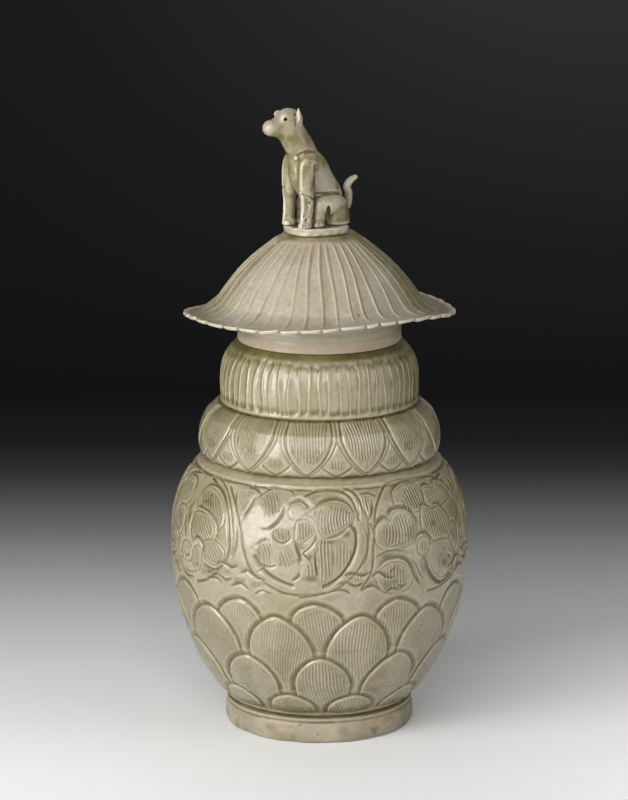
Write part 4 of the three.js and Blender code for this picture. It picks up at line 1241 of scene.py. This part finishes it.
PLINTH_BOTTOM, PLINTH_TOP = 305.7, 310.2
PLINTH_HALF_WIDTH = 19.7
FINIAL_SHIFT = -1.6
# Corners of the slab as it was cut, from its middle
PLINTH_CORNERS = ((-9, -21.6), (7, -20.4), (21, -9), (11.5, 20.5), (-19, 10), (-21.4, -8))


def plinth_cut(angle):
    """How far the slab's edge is from its middle in each direction, as a share of its half width."""
    corners = np.array(PLINTH_CORNERS)
    toward = np.column_stack([np.sin(angle), -np.cos(angle)])
    total = np.zeros(len(angle))
    for a, b in zip(corners, np.roll(corners, -1, axis=0)):
        out = np.array([b[1] - a[1], a[0] - b[0]])
        out = out / np.hypot(*out)
        total += (np.clip(toward @ out, 0, None) / (a @ out)) ** 7
    return total ** (-1 / 7) / PLINTH_HALF_WIDTH


def build_plinth():
    edge, half, low, top = 1.3, PLINTH_HALF_WIDTH, PLINTH_BOTTOM - 0.5, PLINTH_TOP
    lower_edge = bezier((half - 0.4, low + 0.2), (half + 0.1, low + 0.6), (half - 0.3, low + 2.2),
                        (half - 0.2, low + 3), 10)
    upper_edge = bezier((half - 0.1, top - edge), (half + 0.1, top - 0.3), (half - 0.6, top),
                        (half - edge, top), 8)
    profile = np.vstack([[(r, low) for r in (0, 2, 8, 14, half - 0.8)], lower_edge, upper_edge,
                         [(r, top) for r in (*np.linspace(half - 2.2, 2, 14), 0)]])
    angle = round_angles(260)
    r, z = profile[:, :1], profile[:, 1:]
    outer = smoothstep(half - 6, half, r)
    radii = r * plinth_cut(angle)[None, :] + outer * (0.4 * wander(angle * 3, z * 0.6, 81) - 0.2)
    upper = smoothstep(low + 2, top, z)
    heights = z + upper * outer * (0.4 * wander(angle * 2, 0, 82) - 0.1) - 0.5 * upper * (1 - outer)
    rim = bell(r - half + 0.7, 0.8) * smoothstep(top - 1.5, top - 0.3, z)
    inner = (1 - smoothstep(half - 7, half - 1.5, r)) * (z > top - 0.1)
    pool = np.clip(1.1 * inner + 1.1 * (1 - smoothstep(low, low + 2, z)), 0, 1.1)
    pool = pool + 0.45 * np.clip(wander(angle * 5, z * 0.9, 83), 0, 1)
    grids = {"edge": rim * np.ones(radii.shape), "pool": pool}
    made = turned("plinth_slab", "lid", "finial_plinth", "grey_glaze", GREY, angle, radii, heights, grids)
    made.data.transform(Matrix.Translation((FINIAL_SHIFT * MM, 0, 0)))


build_plinth()


# Dog: modelled in soft clay, in its own frame with x forward, y to its left and z up from the plinth

DOG_GROUND = 310.5
DOG_HEADING = 216.5
HEAD_PIVOT = 12.65
HEAD_TURN = -6


def joined(mine, other, blend):
    """The lesser of two distances, with the seam between them rounded over a width of blend."""
    share = np.clip(0.5 + 0.5 * (other - mine) / blend, 0, 1)
    return mix(other, mine, share) - blend * share * (1 - share)


class Clay:
    """A solid as distances on an even grid in mm, less than 0 inside."""

    def __init__(self, low, high, cell):
        self.low = np.array(low, float)
        self.cell = cell
        counts = np.ceil((np.array(high) - self.low) / cell).astype(int) + 1
        self.axes = [self.low[i] + cell * np.arange(counts[i]) for i in range(3)]
        self.field = np.full(counts, 30.0)

    def near(self, low, high):
        """The part of the grid in a box."""
        cut = [slice(*np.searchsorted(axis, (a, b))) for axis, a, b in zip(self.axes, low, high)]
        x, y, z = np.meshgrid(*[axis[c] for axis, c in zip(self.axes, cut)], indexing="ij")
        return tuple(cut), x, y, z

    def limb(self, stations, flat=1.0, margin=5.0):
        """Distances to a limb through stations of x, y, z and radius, flat times as wide in y."""
        path = smooth_line(stations, per_span=5) if len(stations) > 2 else np.array(stations, float)
        reach = path[:, 3].max() + margin
        cut, x, y, z = self.near(path[:, :3].min(axis=0) - reach, path[:, :3].max(axis=0) + reach)
        best = np.full(x.shape, 30.0)
        for a, b in zip(path, path[1:]):
            step = (b - a)[:3]
            span = max(float(step @ step), 1e-9)
            t = np.clip(((x - a[0]) * step[0] + (y - a[1]) * step[1] + (z - a[2]) * step[2]) / span, 0, 1)
            off = (y - a[1] - t * step[1]) / flat
            distance = np.sqrt((x - a[0] - t * step[0]) ** 2 + off**2 + (z - a[2] - t * step[2]) ** 2)
            best = np.minimum(best, distance - (a[3] + t * (b[3] - a[3])))
        return cut, best

    def add(self, stations, blend=1.5, flat=1.0):
        cut, other = self.limb(stations, flat)
        self.field[cut] = joined(self.field[cut], other, blend)

    def carve(self, stations, blend=0.5, flat=1.0):
        cut, other = self.limb(stations, flat, margin=2.0)
        self.field[cut] = -joined(-self.field[cut], other, blend)

    def cut_flat(self, height):
        self.field = np.maximum(self.field, height - self.axes[2][None, None, :])

    def skin_at(self, x, z, side):
        """How far out the clay reaches in y at a place seen from the side."""
        i = int(round((x - self.low[0]) / self.cell))
        k = int(round((z - self.low[2]) / self.cell))
        column = self.field[i, :, k]
        solid = self.axes[1][column < 0]
        if not len(solid):
            return side * 4.0
        return float(solid.max() if side > 0 else solid.min())

    def scratch(self, points, side, radius=0.5, depth=0.3, blend=0.4):
        """A line pressed into the side of the dog through points of x and z."""
        line = smooth_line(points, per_span=8)
        stations = [(x, self.skin_at(x, z, side) + side * (radius - depth), z, radius) for x, z in line]
        self.carve(stations, blend)

    def blurred(self, width):
        """The field averaged over a cube."""
        out = self.field
        for axis in range(3):
            total = np.cumsum(out, axis=axis)
            count = out.shape[axis]
            at = np.arange(count)
            high = np.minimum(at + width, count - 1)
            low = np.maximum(at - width - 1, 0)
            spans = (high - low).reshape([-1 if i == axis else 1 for i in range(3)])
            out = (np.take(total, high, axis) - np.take(total, low, axis)) / spans
        return out

    def sample(self, field, points):
        """Values of a field between the grid's points."""
        at = (points - self.low) / self.cell
        base = np.clip(np.floor(at).astype(int), 0, np.array(field.shape) - 2)
        t = at - base
        total = np.zeros(len(points))
        for corner in np.ndindex(2, 2, 2):
            weight = np.where(corner, t, 1 - t).prod(axis=1)
            total += weight * field[tuple((base + corner).T)]
        return total

    def surface(self):
        """Vertices and four-cornered faces where the field is 0, one vertex for each mixed cell."""
        field = self.field
        cells = tuple(n - 1 for n in field.shape)
        total = np.zeros((np.prod(cells), 3))
        count = np.zeros(np.prod(cells))
        faces = []
        for axis in range(3):
            lower = np.take(field, range(field.shape[axis] - 1), axis)
            upper = np.take(field, range(1, field.shape[axis]), axis)
            crossing = np.argwhere((lower < 0) != (upper < 0))
            a = lower[tuple(crossing.T)]
            b = upper[tuple(crossing.T)]
            place = crossing.astype(float)
            place[:, axis] += a / (a - b)
            around = []
            for db, dc in ((-1, -1), (0, -1), (0, 0), (-1, 0)):
                cell = crossing.copy()
                cell[:, (axis + 1) % 3] += db
                cell[:, (axis + 2) % 3] += dc
                index = np.ravel_multi_index(tuple(cell.T), cells)
                for i in range(3):
                    total[:, i] += np.bincount(index, place[:, i], len(count))
                count += np.bincount(index, minlength=len(count))
                around.append(index)
            quad = np.column_stack(around)
            faces.append(np.where((a < 0)[:, None], quad, quad[:, ::-1]))
        used = np.flatnonzero(count)
        number = np.full(len(count), -1)
        number[used] = np.arange(len(used))
        vertices = self.low + self.cell * total[used] / count[used][:, None]
        return vertices, number[np.vstack(faces)]


def head(stations, side=1):
    """The same stations on one side, with the head turned on the neck."""
    turn = math.radians(HEAD_TURN)
    out = []
    for x, y, z, r in sided(stations, side):
        dx = x - HEAD_PIVOT
        out.append((HEAD_PIVOT + dx * math.cos(turn) - y * math.sin(turn),
                    dx * math.sin(turn) + y * math.cos(turn), z, r))
    return out


def sided(stations, side):
    return [(x, side * y, z, r) for x, y, z, r in stations]


def model_dog():
    dog = Clay((-32, -17, -1.5), (42, 17, 77), cell=0.45)
    trunk = [(-10.4, 0, 7.6, 8.2), (-7.1, 0, 16.1, 10), (-1.4, 0, 24.9, 10), (4.6, 0, 33.4, 10.8),
             (7.6, 0, 38, 8.3)]
    chest = [(11, 0, 38, 8), (12.2, 0, 30, 6.6), (9.5, 0, 21, 4.6), (7, 0, 15, 3)]
    neck = [(7.5, 0, 35.9, 9), (11.95, 0, 45.5, 9), (16.2, 0, 53.1, 8.4), (19.3, 0, 60.8, 7.3)]
    skull = [(20.3, 0, 63.3, 8.1), (21, 0, 63.5, 8.0)]
    muzzle = [(22.7, 0, 60.6, 6), (26.8, 0, 60.8, 5.6), (30.6, 0, 60.4, 5.1), (32.7, 0, 60.3, 4.9)]
    jaw = [(19.7, 0, 54.3, 6), (24.7, 0, 57.4, 4.6), (29.1, 0, 59.6, 4.3)]
    tail = [(-17.4, 0, 5.6, 2.3), (-22.8, 0, 8.9, 2.4), (-23.8, 0, 15.4, 2.5), (-22.8, 0, 20.3, 2.4),
            (-25.4, 0, 23.6, 2.1), (-28.9, 0, 25.2, 1.5)]
    dog.add(trunk, 2, flat=0.84)
    dog.add(chest, 2)
    dog.add(head(neck), 1.6, flat=0.92)
    dog.add(head(skull), 1.5, flat=0.84)
    dog.add(head(muzzle), 3)
    dog.add(head(jaw), 2)
    for side in (1, -1):
        model_side(dog, side)
    dog.add(tail, 1.0)
    model_marks(dog)
    dog.cut_flat(-0.6)
    return dog


# Where the dog's two sides differ, left and right: lower foreleg, brow with its blend, and top of the ear
SHINS = {1: [(13.4, 7.7, 21, 4.1), (12.9, 7.7, 13, 4), (13.6, 7.7, 6, 3.8), (13.9, 7.7, 1.5, 3.9)],
         -1: [(13.8, 8.2, 21, 3.7), (13.6, 8.4, 13, 3.2), (14, 8.4, 6, 3.1), (14.4, 8.2, 1.5, 3.4)]}
BROWS = {1: ([(24, 4.4, 65.8, 2.3), (25, 4.2, 66.5, 2.1)], 3),
         -1: ([(23.6, 4.6, 66.2, 3.2), (24.6, 4.8, 67.2, 2.7)], 0.8)}
EAR_TOPS = {1: 71.6, -1: 70.04}


def model_side(dog, side):
    """Legs, eye and ear of one side, drawn on the left: the legs are straps of clay laid on."""
    upper_leg = [(8.6, 6.4, 43.6, 2.6), (11.8, 6.9, 38.6, 5.9), (13.9, 7.7, 30, 4.7), (14, 7.7, 21, 4.3)]
    fore_paw = [(14.5, 7.7, 1.2, 3.5), (16, 7.7, 0.6, 3)]
    leg_front = [(10, 9.6, 41.6, 0.8), (14.2, 9.3, 40.8, 1.1), (17, 8.9, 37.6, 1.2), (17.9, 9.1, 28, 1.1),
                 (17, 9.1, 14, 1.1), (17.6, 9, 1, 1.2)]
    hind_leg = [(4.6, 8.7, 1.4, 3.6), (4.5, 8.8, 8, 3.6), (3.2, 8.7, 11.8, 5), (-2.5, 8.2, 12.2, 5.9),
                (-9, 7.4, 10.6, 6.8), (-11, 6.4, 6, 7.6), (-11.4, 6.3, 1.5, 7.5)]
    hind_paw = [(5, 8.7, 0.8, 3.2), (7, 8.7, 0.4, 2.5)]
    for stations, blend, flat in ((upper_leg, 0.7, 1), (SHINS[side], 2.2, 1), (fore_paw, 0.8, 1),
                                  (leg_front, 1.6, 1), (hind_leg, 0.6, 0.74), (hind_paw, 0.8, 1)):
        dog.add(sided(stations, side), blend, flat)
    brow, blend = BROWS[side]
    ear = [(17.6, 6.2, 63, 0.7), (17.6, 7, 65.6, 1.6), (17.8, 7.2, 68.4, 1.3), (17.7, 7, EAR_TOPS[side], 0.5)]
    ear_back = [(16.2, 5.6, 61.4, 1.6), (16, 6.3, 65, 1.7), (16.8, 6.7, 68.6, 1.1)]
    ear_hollow = [(19.6, 7.6, 69, 0.85), (19.8, 7.5, 65, 0.85), (19.4, 7.4, 61.8, 0.85)]
    eye = [(27.4, 9, 66, 1.08), (26, 6.2, 65.8, 1.08), (25, 3.2, 65.2, 1.08)]
    dog.add(head(brow, side), blend)
    dog.add(head(ear, side), 0.8)
    dog.add(head(ear_back, side), 1.2, flat=0.6)
    dog.carve(head(ear_hollow, side), 0.4)
    dog.carve(head(eye, side), 0.25)


def model_marks(dog):
    """Creases, tool marks and pits."""
    rng = np.random.default_rng(91)
    for side in (1, -1):
        dog.scratch([(18.6, 43.4), (15, 45.2), (11, 45.8), (7.6, 45)], side, 0.9, 0.5, 0.9)
        dog.scratch([(9.8, 36.6), (9.6, 33), (9.2, 29), (8.2, 24.5), (7.8, 20.6)], side, 1.7, 1.5, 1.4)
        dog.scratch([(8.4, 18.4), (2, 18.8), (-5, 19), (-11, 17.8), (-15, 14.8)], side, 0.8, 0.7, 0.8)
        dog.scratch([(0.2, 10.6), (-1.2, 7), (-1.7, 3), (-2, -1)], side, 1.7, 2.6)
        if side > 0:
            dog.scratch([(19, 20.6), (15.5, 19.6), (12.5, 18), (9.6, 16.4)], side, 0.4, 0.3)
        dog.scratch([(13.5, 23.4), (11.6, 22), (10.4, 20.2)], side, 0.4, 0.3)
        dog.scratch([(24, 33), (20, 24.5), (15.5, 17)], side, 0.4, 0.2)
        for _ in range(16):
            x, z = rng.uniform(12, 17.4), rng.uniform(1, 17)
            dog.scratch([(x, z), (x + rng.uniform(-0.9, 0.9), z - rng.uniform(0.2, 1))], side,
                        rng.uniform(0.3, 0.5), rng.uniform(0.25, 0.45))
        for k in range(3):
            x = 18 - 1.7 * k
            dog.scratch([(x, 0.2), (x - 0.2, 2.2)], side, 0.35, 0.3)
    dog.add([(18.9, 4.8, 42, 1.45), (19, 4.8, 41.9, 1.45)], 0.4)


# Where glaze ran together or stayed thick: x, y, z, reach and share. (10, 0, 8) and (0, -3, 6) are painted
# shade under the body between the legs.
DOG_POOLS_AND_SHADE = (
    (29, 2, 54, 8, 1.1), (23, 5, 53.6, 6.5, 1.0), (24, 2, 49, 7, 0.8), (10.6, 3, 61, 8, 0.8),
    (7, 3.6, 53, 8, 0.7), (4, 3.6, 46, 8, 0.6), (18.6, 7, 66, 4, 0.9), (20, -3, 43, 9, 0.9),
    (18.6, 4, 39, 7, 0.8), (21, -6, 36, 6, 0.8), (8.6, 9, 36, 7, 1.1), (8, 9, 28, 6, 1.0),
    (-15, 8, 6, 8, 1.1), (21, 2, 32, 8, 0.9), (-13.6, 2, 26, 8, 0.6), (-2, 10, 5, 7, 1.2),
    (10, 0, 8, 12, 1.1), (9, 10, 2, 5, 0.9), (26, 6, 65.7, 1.6, 1.3), (0, -3, 6, 12, 1.2),
)


def build_dog():
    dog = model_dog()
    vertices, faces = dog.surface()
    bend = dog.sample(dog.blurred(3) - dog.field, vertices)
    x, y, z = vertices.T

    def distance(px, py, pz):
        return np.sqrt((x - px) ** 2 + (y - py) ** 2 + (z - pz) ** 2)

    pool = smoothstep(0.02, 0.26, -bend) * 1.1
    # Pooled glaze, and painted shade under the body between the legs
    for px, py, pz, reach, share in DOG_POOLS_AND_SHADE:
        pool = np.maximum(pool, share * (1 - smoothstep(0.0, 1, distance(px, py, pz) / reach)))
    cloud = 0.5 + 0.5 * np.sin(0.29 * z + 0.4 * x) * np.sin(0.5 * y + 0.3 * x + 1)
    haunch = 1 - smoothstep(5, 12, np.hypot(x + 3, z - 11))
    flank = 1 - smoothstep(5, 13, np.hypot(x, z - 27))
    rump = smoothstep(3, 8, -x) * (1 - smoothstep(9, 15, z + 0.3 * x + 3))
    thick = (1 - smoothstep(52, 74, z)) * (0.4 + 0.32 * cloud) * (1 - 0.65 * np.maximum(haunch, flank))
    thick = np.maximum(thick + 0.14 * cloud, 0.95 * rump)
    edge = smoothstep(0.06, 0.34, bend) * smoothstep(1.5, 4, distance(25.6, 6, 65.7))
    attributes = {key: np.zeros(len(vertices)) for key in GRIDS}
    attributes.update(edge=edge, pool=np.maximum(pool, thick) * (1 - 0.75 * edge))
    turn = math.radians(DOG_HEADING)
    placed = np.column_stack([x * math.cos(turn) - y * math.sin(turn) + FINIAL_SHIFT,
                              x * math.sin(turn) + y * math.cos(turn), z + DOG_GROUND])
    mesh = make_mesh("seated_dog", placed, faces, attributes)
    nodes = [obj.name for obj in bpy.data.objects if obj.name.startswith("dog_")]
    dress(bpy.data.objects.new("seated_dog", mesh), "lid", nodes, GREY)


build_dog()


# Camera, light and floor

# The camera's place in metres, its tilt from straight down in degrees and its lens in mm
CAMERA_PLACE, CAMERA_TILT, LENS = (-0.0033, -2.070, 0.6788), 77, 156.7
# Each lamp's place, the height on the axis that it aims at, its size and its watts
LAMPS = {
    "key": ((-1.15, -0.95, 0.6), 0.2, (0.75, 1.1), 21),
    "front": ((-0.4, -1.75, 1.35), 0.2, (1.6, 1.1), 23.5),
    "fill": ((1.6, -1.0, 1.0), 0.18, (1.3, 1.3), 10.5),
}
# How bright the sky is in front of the jar and behind it
FRONT_SKY, BACK_SKY = 0.16, 2.0
# The floor's radius in metres and its height in mm
FLOOR_RADIUS, FLOOR_HEIGHT = 9.0, -0.05
# How bright the floor is painted, by its distance behind the jar in metres: painted shade, darker further
# back
FLOOR_SHADES = ((-0.35, 0.912), (-0.114, 0.8835), (-0.011, 0.8004), (0.1, 0.747), (0.23, 0.549),
                (0.352, 0.3397), (0.448, 0.1876), (0.537, 0.0996), (0.62, 0.0437), (0.717, 0.0192),
                (0.9, 0.0112), (1.4, 0.0182), (4.0, 0.0448))


def camera():
    data = bpy.data.cameras.new("camera")
    data.lens = LENS
    data.sensor_width = 36
    data.clip_end = 50
    made = link(bpy.data.objects.new("camera", data))
    made.location = CAMERA_PLACE
    made.rotation_euler = Euler((math.radians(CAMERA_TILT), 0, 0))
    bpy.context.scene.camera = made


def lamps():
    for name, (place, aim, size, watts) in LAMPS.items():
        data = bpy.data.lights.new(name, "AREA")
        data.shape = "RECTANGLE"
        data.size, data.size_y = size
        data.energy = watts
        made = link(bpy.data.objects.new(name, data))
        made.location = place
        made.rotation_euler = (Vector((0, 0, aim)) - Vector(place)).to_track_quat("-Z", "Y").to_euler()


def floor():
    at = np.linspace(0, 1, 40)[:, None] ** 2 * FLOOR_RADIUS / MM
    angle = round_angles(96)
    vertices, index = ring_points(at, np.full((len(at), len(angle)), FLOOR_HEIGHT), angle)
    made = link(bpy.data.objects.new("floor", make_mesh("floor", vertices, ring_faces(index), {})))
    g = Shader("floor")
    across, away = g.node("SeparateXYZ", {0: g.coordinates}).outputs[:2]
    low, high = FLOOR_SHADES[0][0], FLOOR_SHADES[-1][0]
    place = g.node("MapRange", {"Value": away, "From Min": low, "From Max": high}).outputs[0]
    # Painted shade on the floor: its colour darkens by distance behind the jar
    painted_shade = g.node("ValToRGB", {"Fac": place})
    stops = painted_shade.color_ramp.elements
    while len(stops) < len(FLOOR_SHADES):
        stops.new(0.5)
    for stop, (y, grey) in zip(stops, FLOOR_SHADES):
        stop.position = (y - low) / (high - low)
        stop.color = (grey, grey, grey, 1)
    # Painted light: the floor brighter far back on the right
    painted_glow = g.times(g.ramp(across, -0.55, 0.45), g.ramp(away, 0.3, 3.2, 0.2, 1.3))
    painted_glow = g.times(painted_glow, g.ramp(away, 0.3, 0.5))
    # Painted light: the floor just right of the jar lifted, where the jar's shadow falls
    painted_lift = g.times(g.ramp(across, 0.06, 0.25, 0.0, 0.14), g.ramp(away, 0.5, 0.3))
    bright = g.math("ADD", g.math("ADD", 1.0, painted_glow), painted_lift)
    g.tree.links.new(g.times(painted_shade.outputs["Color"], bright), g.surface.inputs["Base Color"])
    g.surface.inputs["Roughness"].default_value = 0.8
    g.surface.inputs["Specular IOR Level"].default_value = 0
    made.data.materials.append(g.material)


def sky():
    """Soft grey light from all round, stronger from behind, where no lamp stands.

    The stronger light is left out of what is seen straight on and in reflections, which stay dark.
    """
    made = bpy.data.worlds.new("studio")
    bpy.context.scene.world = made
    w = Nodes(made)
    toward = w.node("TexCoord").outputs["Generated"]
    away = w.node("SeparateXYZ", {0: toward}).outputs[1]
    ray = w.node("LightPath").outputs
    seen = w.math("MAXIMUM", ray["Is Camera Ray"], ray["Is Glossy Ray"])
    back = w.math("MULTIPLY_ADD", seen, FRONT_SKY - BACK_SKY, BACK_SKY)
    strength = w.node("MapRange", {
        "Value": away, "From Min": 0.25, "To Min": FRONT_SKY, "To Max": back,
    }).outputs[0]
    background = w.tree.nodes["Background"].inputs
    background["Color"].default_value = (0.56, 0.56, 0.56, 1)
    w.tree.links.new(strength, background["Strength"])


camera()
lamps()
floor()
sky()
bpy.context.scene.view_settings.view_transform = "Standard"
